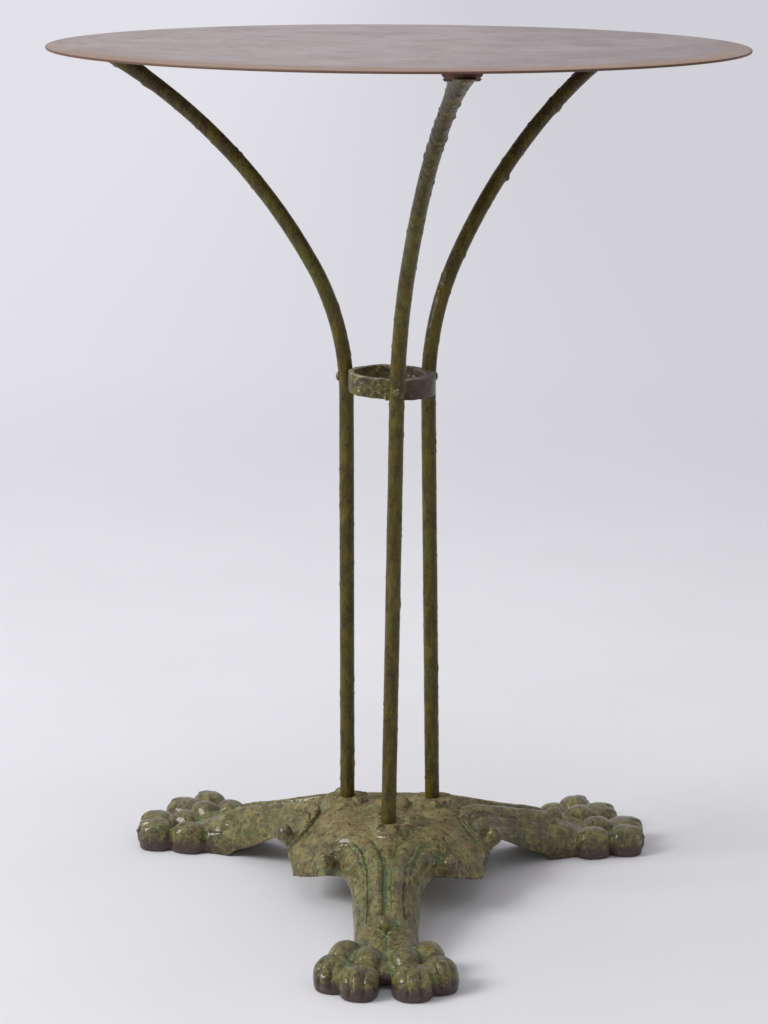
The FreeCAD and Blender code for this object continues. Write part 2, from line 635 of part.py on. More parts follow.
def make_casting():
    wall = size["casting_wall"]
    hub = add("Part::Ellipsoid", "hub_outside", Placement(), {"Angle1": -90, "Angle2": 90},
              Radius1="sizes.hub_height", Radius2="sizes.hub_dome_radius",
              Radius3="sizes.hub_dome_radius")
    corners = []
    knob_distance = math.hypot(size["knob_along"], size["knob_across"]) + size["knob_radius"] / 2
    knob_turn = math.degrees(math.atan2(size["knob_across"], size["knob_along"]))
    for rod in RODS.values():
        corners.append((rod["leg"] - knob_turn, knob_distance))
        corners.append((rod["leg"] + knob_turn, knob_distance))
        corners.append((rod["leg"] + 60, size["hub_corner_radius"]))
    corners.sort()
    points = [radius * level(direction) for direction, radius in corners]
    plate = doc.addObject("Part::Feature", "hub_plan")
    plate.Shape = Part.Face(Part.makePolygon(points + points[:1])).extrude(size["hub_height"] * UP)
    plate.Placement = Placement(size["hub_edge_height"] * UP, Rotation())
    crown = doc.addObject("Part::Common", "hub_crown")
    crown.Base = hub
    crown.Tool = plate
    parts = [crown]
    gate_base = size["hub_height"] - wall / 2
    parts.append(add("Part::Cone", "gate_stub", Placement(gate_base * UP, Rotation()),
                     Radius1="sizes.gate_diameter / 2", Radius2="sizes.gate_diameter / 3",
                     Height="sizes.casting_wall / 2 + sizes.gate_rise"))
    for name, rod in RODS.items():
        parts += leg_parts(name, rod["leg"])
    body = fuse("casting_outside", parts)

    hollows = [add("Part::Ellipsoid", "hub_inside", Placement(), {"Angle1": -90, "Angle2": 90},
                   Radius1="sizes.hub_height - sizes.casting_wall",
                   Radius2="sizes.hub_dome_radius - sizes.casting_wall",
                   Radius3="sizes.hub_dome_radius - sizes.casting_wall")]
    for name, rod in RODS.items():
        place = Placement(Vector(), Rotation(UP, rod["leg"]))
        hollows.append(loft(f"leg_hollow_{name}", leg_stations()[:5], wall, wall, place))
    shell = cut("casting_shell", body, hollows)

    bores = []
    for name in RODS:
        base = layouts[name]["base"]
        below = base.multiply(Placement(-3 * size["boss_depth"] * UP, Rotation()))
        joined = doc.addObject("Part::Fuse", f"shell_with_boss_{name}")
        joined.Base = shell
        joined.Tool = add("Part::Cylinder", f"boss_{name}",
                          base.multiply(Placement(-size["boss_depth"] * UP, Rotation())),
                          Radius="sizes.boss_diameter / 2", Height="sizes.boss_depth")
        shell = joined
        bores.append(add("Part::Cylinder", f"bore_{name}", below,
                         Radius="sizes.tenon_diameter / 2 + sizes.hole_clearance",
                         Height="4 * sizes.boss_depth"))
        bores.append(add("Part::Cylinder", f"spotface_{name}", below,
                         Radius="sizes.washer_diameter / 2 + sizes.washer_thickness",
                         Height="2 * sizes.boss_depth"))
    floor = add("Part::Cylinder", "under_floor",
                Placement(-size["hub_height"] * UP, Rotation()),
                Radius="sizes.top_diameter", Height="sizes.hub_height")
    subpart(cut("base_casting", shell, bores + [floor], stand), "base_casting")


def make_washer(name):
    drop = size["boss_depth"] + size["washer_thickness"]
    place = layouts[name]["base"].multiply(Placement(-drop * UP, Rotation()))
    blank = add("Part::Cylinder", f"washer_blank_{name}", place,
                Radius="sizes.washer_diameter / 2", Height="sizes.washer_thickness")
    hole = add("Part::Cylinder", f"washer_hole_{name}", place,
               Radius="sizes.tenon_diameter / 2 + sizes.hole_clearance",
               Height="sizes.washer_thickness")
    subpart(cut(f"rod_washer_{name}", blank, [hole], stand), f"rod_washer_{name}")


def make_nut(name):
    """Square nut with its corners turned off below."""
    half = size["nut_width"] / 2
    place = layouts[name]["base"].multiply(Placement(-nut_drop() * UP, Rotation()))
    block = add("Part::Box", f"nut_block_{name}",
                place.multiply(Placement(Vector(-half, -half, 0), Rotation())),
                Length="sizes.nut_width", Width="sizes.nut_width",
                Height="sizes.nut_thickness")
    turned = add("Part::Cone", f"nut_turning_{name}", place,
                 Radius1="sizes.nut_turning_diameter / 2",
                 Radius2="sizes.nut_turning_diameter / 2 + 2 * sizes.nut_thickness",
                 Height="sizes.nut_thickness")
    blank = doc.addObject("Part::Common", f"nut_blank_{name}")
    blank.Base = block
    blank.Tool = turned
    hole = add("Part::Cylinder", f"nut_hole_{name}", place,
               Radius="sizes.tenon_diameter / 2 + sizes.hole_clearance",
               Height="sizes.nut_thickness")
    subpart(cut(f"rod_nut_{name}", blank, [hole], stand), f"rod_nut_{name}")


make_table_top()
make_collar()
make_casting()
for rod_name in RODS:
    make_rod(rod_name)
    make_pad(rod_name)
    make_pad_rivets(rod_name)
    make_collar_rivet(rod_name)
    make_washer(rod_name)
    make_nut(rod_name)
doc.recompute()

for thing in doc.Objects:
    if "Invalid" in thing.State or "Error" in thing.State:
        raise RuntimeError(f"{thing.Name} failed: {thing.State}")
for thing in subparts:
    if thing.Shape.isNull() or not thing.Shape.isValid():
        raise RuntimeError(f"{thing.Label} has no valid shape")

os.makedirs("parts", exist_ok=True)
for thing in subparts:
    shape = thing.Shape
    shape.exportStep(f"parts/{thing.Label}.step")
    print(f"{thing.Label}: {len(shape.Solids)} solid(s), {shape.Volume / 1000:.1f} cm3")
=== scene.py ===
import math

import bmesh
import bpy
import numpy as np
from mathutils import Matrix, Vector


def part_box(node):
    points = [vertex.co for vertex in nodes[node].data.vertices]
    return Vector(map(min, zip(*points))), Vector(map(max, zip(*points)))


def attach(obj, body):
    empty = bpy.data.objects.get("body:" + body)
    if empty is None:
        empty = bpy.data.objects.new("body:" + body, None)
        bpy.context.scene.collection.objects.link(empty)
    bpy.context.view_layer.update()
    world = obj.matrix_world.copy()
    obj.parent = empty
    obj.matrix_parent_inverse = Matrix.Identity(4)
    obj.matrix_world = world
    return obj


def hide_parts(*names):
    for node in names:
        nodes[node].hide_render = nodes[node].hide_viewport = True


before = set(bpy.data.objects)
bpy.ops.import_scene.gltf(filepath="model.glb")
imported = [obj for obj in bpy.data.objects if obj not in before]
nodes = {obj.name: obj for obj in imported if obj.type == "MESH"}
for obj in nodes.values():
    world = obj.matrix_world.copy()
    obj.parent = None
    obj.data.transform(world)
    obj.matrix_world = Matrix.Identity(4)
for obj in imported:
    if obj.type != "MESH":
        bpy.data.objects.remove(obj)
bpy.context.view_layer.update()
MM = 0.001

# The stand's own frame: millimetres, on the axis of the casting, turned a little in the row
# frame. On a leg, "along" is the distance from the axis and "across" lies at right angles.
STAND_X = -3.7
STAND_TURN = math.radians(-1.06)
LEGS = (-90.0, 30.0, 150.0)
RODS = ("front", "right", "left")
ROD_ALONG = 43.5


def to_row(points):
    """Stand frame in millimetres to the row frame in metres."""
    c, s = math.cos(STAND_TURN), math.sin(STAND_TURN)
    out = np.array(points, float)
    x, y = out[..., 0].copy(), out[..., 1].copy()
    out[..., 0] = c * x - s * y + STAND_X
    out[..., 1] = s * x + c * y
    return out * MM


# Noise ------------

def value_noise(points, scale, seed):
    """Smooth seeded noise between -1 and 1, with features about scale wide."""
    size = 32
    table = np.random.default_rng(seed).uniform(-1, 1, (size, size, size)).astype(np.float32)
    p = np.asarray(points) / scale
    cell = np.floor(p).astype(np.int64)
    f = p - cell
    f = f * f * (3 - 2 * f)
    out = 0
    for corner in range(8):
        d = np.array([corner >> 2 & 1, corner >> 1 & 1, corner & 1])
        i = (cell + d) % size
        weight = np.prod(np.where(d == 1, f, 1 - f), axis=-1)
        out = out + weight * table[i[..., 0], i[..., 1], i[..., 2]]
    return out


def fractal(points, scale, seed, octaves=3):
    """Value noise at several scales, each half as large and half as strong as the last."""
    out, strength = 0, 1.0
    for n in range(octaves):
        out = out + strength * value_noise(points, scale / 2 ** n, seed + n)
        strength *= 0.5
    return out


# Meshes -----------

def smin(a, b, k):
    """The lesser of two distances, filleted over about k."""
    h = np.clip(0.5 + 0.5 * (b - a) / k, 0, 1)
    return b + (a - b) * h - k * h * (1 - h)


def smax(a, b, k):
    """The greater of two distances, filleted over about k."""
    return -smin(-a, -b, k)


def surface(field, origin, step):
    """Vertices and quads of the field's zero level, by surface nets."""
    inside = field < 0
    shape = np.array(field.shape) - 1
    cells = int(np.prod(shape))
    total = np.zeros((cells, 3))
    count = np.zeros(cells)
    quads = []
    stride = np.array([shape[1] * shape[2], shape[2], 1])
    for axis in range(3):
        low = [slice(None)] * 3
        high = [slice(None)] * 3
        low[axis] = slice(None, -1)
        high[axis] = slice(1, None)
        at = np.argwhere(inside[tuple(low)] != inside[tuple(high)])
        b, c = [n for n in range(3) if n != axis]
        within = (at[:, b] > 0) & (at[:, c] > 0) & (at[:, b] < shape[b]) & (at[:, c] < shape[c])
        at = at[within]
        after = at.copy()
        after[:, axis] += 1
        f0, f1 = field[tuple(at.T)], field[tuple(after.T)]
        crossing = at.astype(float)
        crossing[:, axis] += f0 / (f0 - f1)
        base = at @ stride
        ring = [base - stride[b] - stride[c], base - stride[c], base, base - stride[b]]
        for cell in ring:
            for n in range(3):
                total[:, n] += np.bincount(cell, crossing[:, n], cells)
            count += np.bincount(cell, minlength=cells)
        ring = np.stack(ring, 1)
        flip = (f0 < 0) == (axis == 1)
        ring[flip] = ring[flip][:, ::-1]
        quads.append(ring)
    used = count > 0
    index = np.cumsum(used) - 1
    vertices = total[used] / count[used, None] * step + np.asarray(origin)
    return vertices, index[np.concatenate(quads)]


def smooth_faces(mesh):
    """Smooth shading on every face."""
    mesh.polygons.foreach_set("use_smooth", np.ones(len(mesh.polygons), bool))


def make_mesh(name, vertices, faces):
    """A smooth-shaded mesh object from arrays; all faces have the same number of corners."""
    faces = np.asarray(faces)
    mesh = bpy.data.meshes.new(name)
    mesh.vertices.add(len(vertices))
    mesh.vertices.foreach_set("co", np.asarray(vertices, np.float32).ravel())
    mesh.loops.add(faces.size)
    mesh.loops.foreach_set("vertex_index", faces.astype(np.int32).ravel())
    mesh.polygons.add(len(faces))
    corners = faces.shape[1]
    mesh.polygons.foreach_set("loop_start", np.arange(0, faces.size, corners, dtype=np.int32))
    mesh.update(calc_edges=True)
    mesh.validate()
    smooth_faces(mesh)
    thing = bpy.data.objects.new(name, mesh)
    bpy.context.scene.collection.objects.link(thing)
    return thing


def arrays(thing):
    """Places and normals of a mesh object's vertices."""
    mesh = thing.data
    co = np.zeros(len(mesh.vertices) * 3, np.float32)
    mesh.vertices.foreach_get("co", co)
    normal = np.zeros(len(mesh.vertices) * 3, np.float32)
    mesh.vertices.foreach_get("normal", normal)
    return co.reshape(-1, 3).astype(float), normal.reshape(-1, 3).astype(float)


def set_points(thing, co):
    """Moves the vertices."""
    thing.data.vertices.foreach_set("co", co.astype(np.float32).ravel())
    thing.data.update()


def attribute(thing, name, values):
    """Keeps one number for each vertex, which the materials read."""
    layer = thing.data.attributes.new(name, "FLOAT", "POINT")
    layer.data.foreach_set("value", np.asarray(values, np.float32))


def edge_ends(thing):
    """Both ends of every edge, and how many edges meet at each vertex."""
    ends = np.zeros(len(thing.data.edges) * 2, np.int32)
    thing.data.edges.foreach_get("vertices", ends)
    first, second = ends.reshape(-1, 2).T
    count = len(thing.data.vertices)
    degree = np.bincount(first, minlength=count) + np.bincount(second, minlength=count)
    return first, second, np.maximum(degree, 1)


def neighbour_mean(co, first, second, degree):
    """The mean place of each vertex's neighbours."""
    total = np.zeros_like(co)
    for n in range(3):
        total[:, n] = (np.bincount(first, co[second, n], len(co))
                       + np.bincount(second, co[first, n], len(co)))
    return total / degree[:, None]


def hollowness(thing, rounds):
    """How far each vertex lies below its smoothed surroundings, in millimetres."""
    co, normal = arrays(thing)
    ends = edge_ends(thing)
    smooth = co
    for _ in range(rounds):
        smooth = neighbour_mean(smooth, *ends)
    return ((smooth - co) * normal).sum(1) / MM


def relax(thing, rounds):
    """Smooths the steps that remeshing leaves. Each step in has a step out that stops shrinking."""
    step_in, step_out = 0.5, -0.525
    co, _ = arrays(thing)
    ends = edge_ends(thing)
    for _ in range(rounds):
        for step in (step_in, step_out):
            co = co + step * (neighbour_mean(co, *ends) - co)
    set_points(thing, co)


# Base casting -----

CROWN = 70.0          # height of the hub's dome
DOME_RADIUS = 104.5   # half width of the dome at the floor
CORNER = 95.5         # pointed corners of the hub's plate, between the legs
KNOB = (73.5, 52.6)   # knob in the eye of a volute: along, across
BEAD = 172.5          # bead on the ankle: along
WALL = 6.5
SWAY = (1.8, 4.5, -4.5)  # how far each leg's paw lies off its centre line, in the order of LEGS


def along_curve(a, *pairs):
    """A curve over the distance along a leg, through (along, value) pairs."""
    xs, ys = zip(*pairs)
    return np.interp(a, xs, ys)


def ridge_height(a):
    """Height of a leg's centre line, from the crown to the toes."""
    return along_curve(a, (0, 70), (30, 68.5), (43.5, 67), (60, 65), (77, 62.5), (103, 55),
                       (131, 47), (152, 41), (163, 37), (175, 31), (185, 26.5), (195, 23),
                       (205, 19), (215, 15), (235, 9))


def lower_edge(a):
    """Height of a leg's lower edges; under the floor from the heel on."""
    return along_curve(a, (60, 38), (80, 38), (95, 34), (105, 29), (116, 23), (130, 15),
                       (149, 6.8), (158, -2), (260, -2))


def half_width(a):
    """Half the width of a leg."""
    return along_curve(a, (60, 44), (73.5, 42), (85, 38), (95, 33), (105, 30), (120, 28.4),
                       (150, 28.4), (170, 30.5), (185, 34), (200, 40), (212, 42))


def leg_height(a, s):
    """Upper face of a leg at s across: a rounded arch over its width."""
    share = np.minimum(s / half_width(a), 0.93)
    low = lower_edge(a)
    return low + (ridge_height(a) - low) * np.sqrt(1 - share ** 2.5)


def dome_height(r):
    """The hub's dome at the distance r from the axis."""
    return CROWN * np.sqrt(np.maximum(1 - (r / DOME_RADIUS) ** 2, 0.02))


def plan(x, y):
    """Leg coordinates of points in plan: along, across (signed) and which of LEGS."""
    sector = 360 / len(LEGS)
    angle = np.degrees(np.arctan2(y, x))
    turn = (angle - LEGS[1] + sector / 2) % 360
    leg = ((turn // sector).astype(int) + 1) % len(LEGS)
    off = np.radians(turn % sector - sector / 2)
    r = np.hypot(x, y)
    return r * np.cos(off), r * np.sin(off), leg


# Four lines part the ornament's bands, outermost first. Where they curl round the knob they are
# distances from it, at these turns about it. Further down the leg they are (along, across).
CURL_TURNS = (0, 45, 90, 135, 180)
CURLS = ((10, 8, 7, 7, 7), (13.7, 10.8, 9, 8.6, 8.4), (27, 18.5, 12.5, 10.8, 10), (43, 28, 17.5, 14, 12.8))
RUNS = (
    ((73.5, 42.6), (85, 38), (95, 33), (105, 30), (120, 28.2), (150, 27.5), (170, 29), (200, 42)),
    ((73.5, 38.9), (85, 34), (95, 29), (105, 25.5), (120, 23), (150, 22.5), (170, 24)),
    ((73.5, 25.6), (85, 22.5), (95, 20), (105, 18.3), (120, 17.5), (150, 17), (170, 18)),
    ((73.5, 9.6), (85, 6.2), (95, 3.8), (105, 2.8), (120, 2.4), (170, 2.4)),
)

# Height of the ornament over the bands: band, millimetres.
RELIEF = np.array([
    (-1, 0), (-0.2, -0.4), (0.5, 1.7), (0.8, 0.6), (1.0, -2.3), (1.2, 0.2), (1.5, 1.6), (1.75, 0.2),
    (1.87, -2.0), (2.0, 3.2), (2.12, -1.7), (2.3, 0.7), (2.55, 2.6), (2.8, 2.3), (2.92, 0.9),
    (3.0, -2.9), (3.12, -2.0), (3.4, -0.6), (4, 0)])


def bands(a, s):
    """Which band a point is in, and its turn about the knob. Band 0 is at the flank's edge, 1 and
    2 are at fine ridges, 3 is where the bands end and 4 on the leg's centre line."""
    behind, beside = KNOB[0] - a, KNOB[1] - s
    curled = behind > 0
    distance = np.where(curled, np.hypot(behind, beside), beside)
    turn = np.where(curled, np.degrees(np.arctan2(behind, beside)), 0)
    lines = [np.where(curled, np.interp(turn, CURL_TURNS, curl), KNOB[1] - along_curve(a, *run))
             for curl, run in zip(CURLS, RUNS)]
    lines.append(np.maximum(KNOB[1], lines[3] + 1))
    band = (distance - lines[0]) / (lines[1] - lines[0])
    for n in range(1, 4):
        share = (distance - lines[n]) / (lines[n + 1] - lines[n])
        band = np.where(distance > lines[n], n + share, band)
    return np.clip(band, -1, 4), turn


def gaussian(values, sigma, step):
    """Blur of a plane array."""
    reach = max(1, int(3 * sigma / step))
    kernel = np.exp(-0.5 * (np.arange(-reach, reach + 1) * step / sigma) ** 2)
    kernel /= kernel.sum()
    for axis in (0, 1):
        padded = np.pad(values, [(reach, reach) if n == axis else (0, 0) for n in (0, 1)], "edge")
        values = sum(k * np.take(padded, np.arange(n, n + values.shape[axis]), axis)
                     for n, k in enumerate(kernel))
    return values


def plain_top(a, s, r, band, turn, step):
    """Upper face without ornament: a dome with the legs' roots raised out of it, then the legs."""
    dome = dome_height(r)
    dome = dome * (1 + 0.060 * np.exp(-((r - 52) / 18) ** 2))
    rise = np.maximum(ridge_height(a) - dome_height(a), 0)
    from_knob = np.interp(band, (-1, 0, 1, 2, 3, 4), (4, 10.6, 14, 27, 43, 52.6))
    share = np.interp(from_knob, (4, 8, 10.6, 14, 20, 30, 43, 52.6), (0, 0, 0.1, 0.46, 0.77, 0.92, 0.95, 1))
    fade = np.interp(turn, (0, 60, 120, 180), (1, 1, 0.6, 0.25))
    root = dome + rise * share * fade
    eaves = np.where(a < 80, dome - 2 * np.maximum(a - 76, 0), -5)
    leg = np.maximum(leg_height(a, s), eaves)
    return gaussian(np.where(a < KNOB[0], root, leg), 1.3, step)


def ornament(a, s, band, turn, step):
    """What the bands, the groove down the leg and the vein on its root add to the upper face."""
    strength = np.interp(a, (30, 50, 160, 178), (0, 1, 1, 0)) * np.interp(turn, (0, 120, 180), (1, 1, 0.7))
    relief = np.interp(band, RELIEF[:, 0], RELIEF[:, 1]) * strength
    groove = np.interp(a, (84, 92, 196, 206), (0, 1, 1, 0))
    relief -= 2.4 * np.exp(-(s / 1.9) ** 2) * groove
    vein = np.interp(a, (48, 60, 88, 95), (0, 1, 1, 0))
    vein_width = 1.5 + 7 * np.clip((92 - a) / 40, 0, 1)
    relief += 2.0 * np.exp(-(s / vein_width * 1.5) ** 2) * vein
    return gaussian(relief, 0.5, step)


def hub_outline(a, s):
    """Distance outside the hub's shield-shaped plates, and the height of their lower edge."""
    corner = CORNER * np.array([math.cos(math.radians(60)), math.sin(math.radians(60))])
    knob = np.array(KNOB) + np.array([1.5, 1.0])
    edge = knob - corner
    length = np.hypot(*edge)
    outwards = np.array([-edge[1], edge[0]]) / length
    share = np.clip(((a - corner[0]) * edge[0] + (s - corner[1]) * edge[1]) / length ** 2, 0, 1)
    plate = (a - corner[0]) * outwards[0] + (s - corner[1]) * outwards[1]
    plate = plate + 1.0 * np.sin(math.pi * share)
    return smax(plate, a - 77, 3), 24 + 11 * share ** 1.5


def casting_field(step):
    """Near enough the distance outside the casting, without its details, on a grid."""
    x = np.arange(-252, 250, step)
    y = np.arange(-262, 190, step)
    z = np.arange(-2 * step, 80, step)
    px, py = np.meshgrid(x, y, indexing="ij")
    a, t, leg = plan(px, py)
    t = t - np.take(SWAY, leg) * np.interp(a, (120, 212), (0, 1))
    s = np.abs(t)
    band, turn = bands(a, s)
    top = plain_top(a, s, np.hypot(px, py), band, turn, step)
    inner_top = gaussian(top, 3.0, step)
    top = top + ornament(a, s, band, turn, step)
    slope = np.hypot(*np.gradient(top, step))
    steep = np.sqrt(1 + np.minimum(slope, 3.5) ** 2)

    hub, plate_low = hub_outline(a, s)
    side = s - half_width(a)
    strip = np.maximum(side, np.maximum(55 - a, a - 212))
    outline = smin(hub, strip, 3)
    low = np.where(a > 77.5, lower_edge(a), plate_low)

    zs = z[None, None, :]
    field = (zs - top[:, :, None]) / steep[:, :, None]
    draft = np.interp(a, (80, 120, 150, 170), (0, 0.2, 0.16, 0.06))
    lean = draft[:, :, None] * np.maximum(24 - zs, 0)
    field = smax(field.astype(np.float32), (outline[:, :, None] + lean).astype(np.float32), 5.0)
    field = np.maximum(field, (gaussian(low, 1.5, step)[:, :, None] - zs) * 0.9)
    inner = np.minimum(hub + 5, np.maximum(side + WALL, np.maximum(55 - a, a - 148)))
    ceiling = (zs - inner_top[:, :, None] + WALL) / steep[:, :, None]
    hollow = smax(ceiling, inner[:, :, None], 4.0)
    field = np.maximum(field, -hollow).astype(np.float32)
    return field, (x, y, z)


def block(grid, centre, reach):
    """Slices of the grid round a point, and the coordinates in them."""
    part = []
    for axis, middle, half in zip(grid, centre, reach):
        i0, i1 = np.searchsorted(axis, (middle - half, middle + half))
        part.append(slice(max(i0 - 1, 0), min(i1 + 1, len(axis))))
    return tuple(part), np.meshgrid(*(axis[cut] for axis, cut in zip(grid, part)), indexing="ij")


def leg_block(grid, direction, place, reach):
    """Slices of the grid round a place on a leg, and the leg coordinates in them."""
    c, s = math.cos(math.radians(direction)), math.sin(math.radians(direction))
    along, across, height = place
    centre = (c * along - s * across, s * along + c * across, height)
    part, (x, y, z) = block(grid, centre, reach)
    return part, (c * x + s * y, -s * x + c * y, z)


def ellipsoid(p, radii):
    """Near enough the distance outside an ellipsoid about the origin."""
    p = [c / r for c, r in zip(p, radii)]
    k0 = np.sqrt(sum(c * c for c in p)) + 1e-6
    k1 = np.sqrt(sum((c / r) ** 2 for c, r in zip(p, radii))) + 1e-6
    return k0 * (k0 - 1) / k1


TOES = {  # along, across, length, width, top, turn outwards
    "outer_knuckle": (196.5, 34, 34, 28, 27, 16),
    "inner_knuckle": (212, 15.2, 34, 27, 28.5, 4),
    "outer_toe": (226, 42.5, 33, 31, 26.5, 24),
    "inner_toe": (238.5, 21.3, 36, 34, 24, 6),
}


def toe_shape(kind, side, sway, points, random):
    """Near enough the distance outside a toe or knuckle: a full, blunt form on the floor."""
    along, across, length, width, height, turn = TOES[kind]
    length, width, height = (v * (1 + random.uniform(-0.025, 0.025)) for v in (length, width, height))
    la, lt, lz = points
    la, lt = la - along, side * (lt - sway) - across
    c, s = math.cos(math.radians(turn)), math.sin(math.radians(turn))
    u, w = c * la + s * lt, -s * la + c * lt
    centre = 11.0 if "toe" in kind else 9.0
    up = np.maximum(lz - centre, 0)
    tuck = 1 + 0.10 * np.clip((centre - lz) / centre, 0, 1) ** 2
    power, half_l, half_w, rise = 2.35, length / 2, width / 2, height - centre
    flat = np.abs(u * tuck / half_l) ** power + np.abs(w * tuck / half_w) ** power
    k0 = (flat + (up / rise) ** power) ** (1 / power) + 1e-6
    reach = np.sqrt((u * u + w * w + up * up + 1e-6)
                    / ((u / half_l) ** 2 + (w / half_w) ** 2 + (up / rise) ** 2 + 1e-6))
    d = (k0 - 1) * reach * 0.9
    if "toe" in kind:
        # a blunt nail down the front between two grooves, and a ring on the outer toes
        front = np.clip((u - 2) / 5, 0, 1) * np.clip((height + 1 - lz) / 4, 0, 1)
        front = front * np.clip((lz - 3) / 4, 0, 1)
        for groove in (-5.4, 5.4):
            d = d + 1.6 * front * np.exp(-((w - groove) / 1.2) ** 2)
        d = d - 1.3 * front * np.exp(-(w / 3.8) ** 4)
        if kind == "outer_toe":
            ring = np.hypot(w, (lz - 0.72 * height) * 1.1) - 4.6
            d = d - 1.1 * front * np.exp(-(ring / 1.1) ** 2)
    return d


def add_toes(f, grid, direction, sway, side, random):
    """Two knuckles and two toes on one side of a paw."""
    for kind, (along, across, *_) in TOES.items():
        part, points = leg_block(grid, direction, (along, side * across, 15), (30, 30, 32))
        fillet = 3.4 if "knuckle" in kind else 2.2
        f[part] = smin(f[part], toe_shape(kind, side, sway, points, random), fillet)


def add_knob(f, grid, direction, side):
    """The knob in the eye of a volute, with a hollow on the leg's side of it."""
    place = (KNOB[0] + 0.5, side * KNOB[1], 44)
    part, (la, lt, lz) = leg_block(grid, direction, place, (22, 22, 22))
    la, lt = la - KNOB[0], side * lt - KNOB[1]
    pit = ellipsoid((la + 1.5, lt + 7.0, lz - 54), (9.0, 3.6, 9.0))
    f[part] = smax(f[part], -pit, 2.0)
    stem = ellipsoid((la + 2.0, lt + 1.0, lz - 43), (6.8, 6.6, 6.4))
    f[part] = smin(f[part], stem, 2.0)
    ball = ellipsoid((la - 2.4, lt, lz - 47.5), (7.6, 7.2, 8.6))
    f[part] = smin(f[part], ball, 0.8)


def add_web(f, grid, direction, sway):
    """The web between the paw's two inner toes."""
    part, (la, lt, lz) = leg_block(grid, direction, (221, 0, 14), (26, 26, 26))
    web = ellipsoid((la - 219, lt - sway, lz - 10), (12, 10, 8.0))
    f[part] = smin(f[part], web, 3.0)


def add_bead(f, grid, direction):
    """The bead on a leg's ankle."""
    part, (la, lt, lz) = leg_block(grid, direction, (BEAD, 0, 36), (16, 16, 16))
    bead = ellipsoid((la - BEAD, lt, lz - 33), (8.0, 7.2, 7.4))
    f[part] = smin(f[part], bead, 0.8)


def add_boss(f, grid, direction, random):
    """The boss round a rod, with the lumps of an old weld, and its bore."""
    part, (la, lt, lz) = leg_block(grid, direction, (ROD_ALONG, 0, 62), (30, 30, 20))
    la = la - ROD_ALONG
    radial = np.hypot(la, lt)
    oval = np.hypot(la / (1 + 0.22 * (la > 0)), lt)
    skirt = smax(oval - 17.2, lz - 72.0, 3.0)
    skirt = smax(skirt, 54.5 - lz, 1.0)
    stem = smax(radial - 10.0, lz - 73.5, 3.0)
    stem = smax(stem, 60 - lz, 1.0)
    boss = smin(skirt, stem, 2.5)
    for _ in range(12):
        turn = random.uniform(0, 2 * math.pi)
        reach = random.uniform(8.5, 17)
        size = random.uniform(1.8, 4.0)
        height = random.uniform(69.5, 73)
        from_lump = (la - reach * math.cos(turn), lt - reach * math.sin(turn), lz - height)
        lump = ellipsoid(from_lump, (size * 1.3, size * 1.2, size * 0.8))
        boss = smin(boss, lump, 2.0)
    f[part] = smin(f[part], boss, 3.0)
    spot_face = np.maximum(radial - 12.5, lz - 56)
    f[part] = np.maximum(f[part], -spot_face)
    f[part] = np.maximum(f[part], 5.2 - radial)


GATE_LUMPS = (  # x, y, z, radii: the broken stub of the gate and lumps near the crown
    (3, 4, 71, (13, 11, 4)),
    (-7, 9, 71, (8, 7, 4)),
    (24, -22, 67, (8, 6, 6)),
    (-10, -8, 71, (9, 7, 3)),
    (12, 12, 71, (6, 6, 4)),
)


def add_details(f, grid):
    """Paws, knobs, beads, bosses and the gate, and the flat soles."""
    random = np.random.default_rng(12)
    for direction, sway in zip(LEGS, SWAY):
        for side in (-1, 1):
            add_toes(f, grid, direction, sway, side, random)
            add_knob(f, grid, direction, side)
        add_web(f, grid, direction, sway)
        add_bead(f, grid, direction)
        add_boss(f, grid, direction, random)
    for x, y, z, radii in GATE_LUMPS:
        part, points = block(grid, (x, y, z), (24, 24, 14))
        lump = ellipsoid((points[0] - x, points[1] - y, points[2] - z), radii)
        f[part] = smin(f[part], lump, 3.0)
    f[:] = np.maximum(f, -grid[2][None, None, :])
    return f


def make_casting():
    """The base casting, with where its paint wears and where old paint shows as attributes, and more old
    paint on one flank as painted light.
    """
    step = 1.1
    field, grid = casting_field(step)
    field = add_details(field, grid)
    vertices, quads = surface(field, [axis[0] for axis in grid], step)
    thing = make_mesh("base_casting_visual", to_row(vertices), quads)
    co, normal = arrays(thing)
    p = co / MM
    off_floor = np.clip(p[:, 2] / 3, 0, 1)
    rough = 0.34 * fractal(p, 15, 3) + 0.20 * fractal(p, 4.5, 9, 2)
    set_points(thing, co + normal * (rough * off_floor * MM)[:, None])
    attribute(thing, "cavity", hollowness(thing, 14))
    attribute(thing, "broad_cavity", hollowness(thing, 60))
    # the stand's small turn is left out here: paint needn't be that exact
    a, t, leg = plan(p[:, 0] - STAND_X, p[:, 1])
    attribute(thing, "near_boss", np.exp(-0.5 * (np.hypot(a - ROD_ALONG, t) / 14) ** 2))
    centre_line = np.exp(-0.5 * (t / 6) ** 2) * np.clip((a - 60) / 20, 0, 1)
    # the front leg's left flank, toward the key light, gets more old green: partly old paint, partly
    # painted light
    flank = np.exp(-0.5 * ((t + 16) / 8) ** 2 - 0.5 * ((a - 125) / 35) ** 2)
    on_front_leg = leg == LEGS.index(-90.0)
    attribute(thing, "old_paint_and_lit_flank", centre_line + on_front_leg * flank)
    dress(thing, "casting_paint", "base_casting")


# Rods, collar and pads 

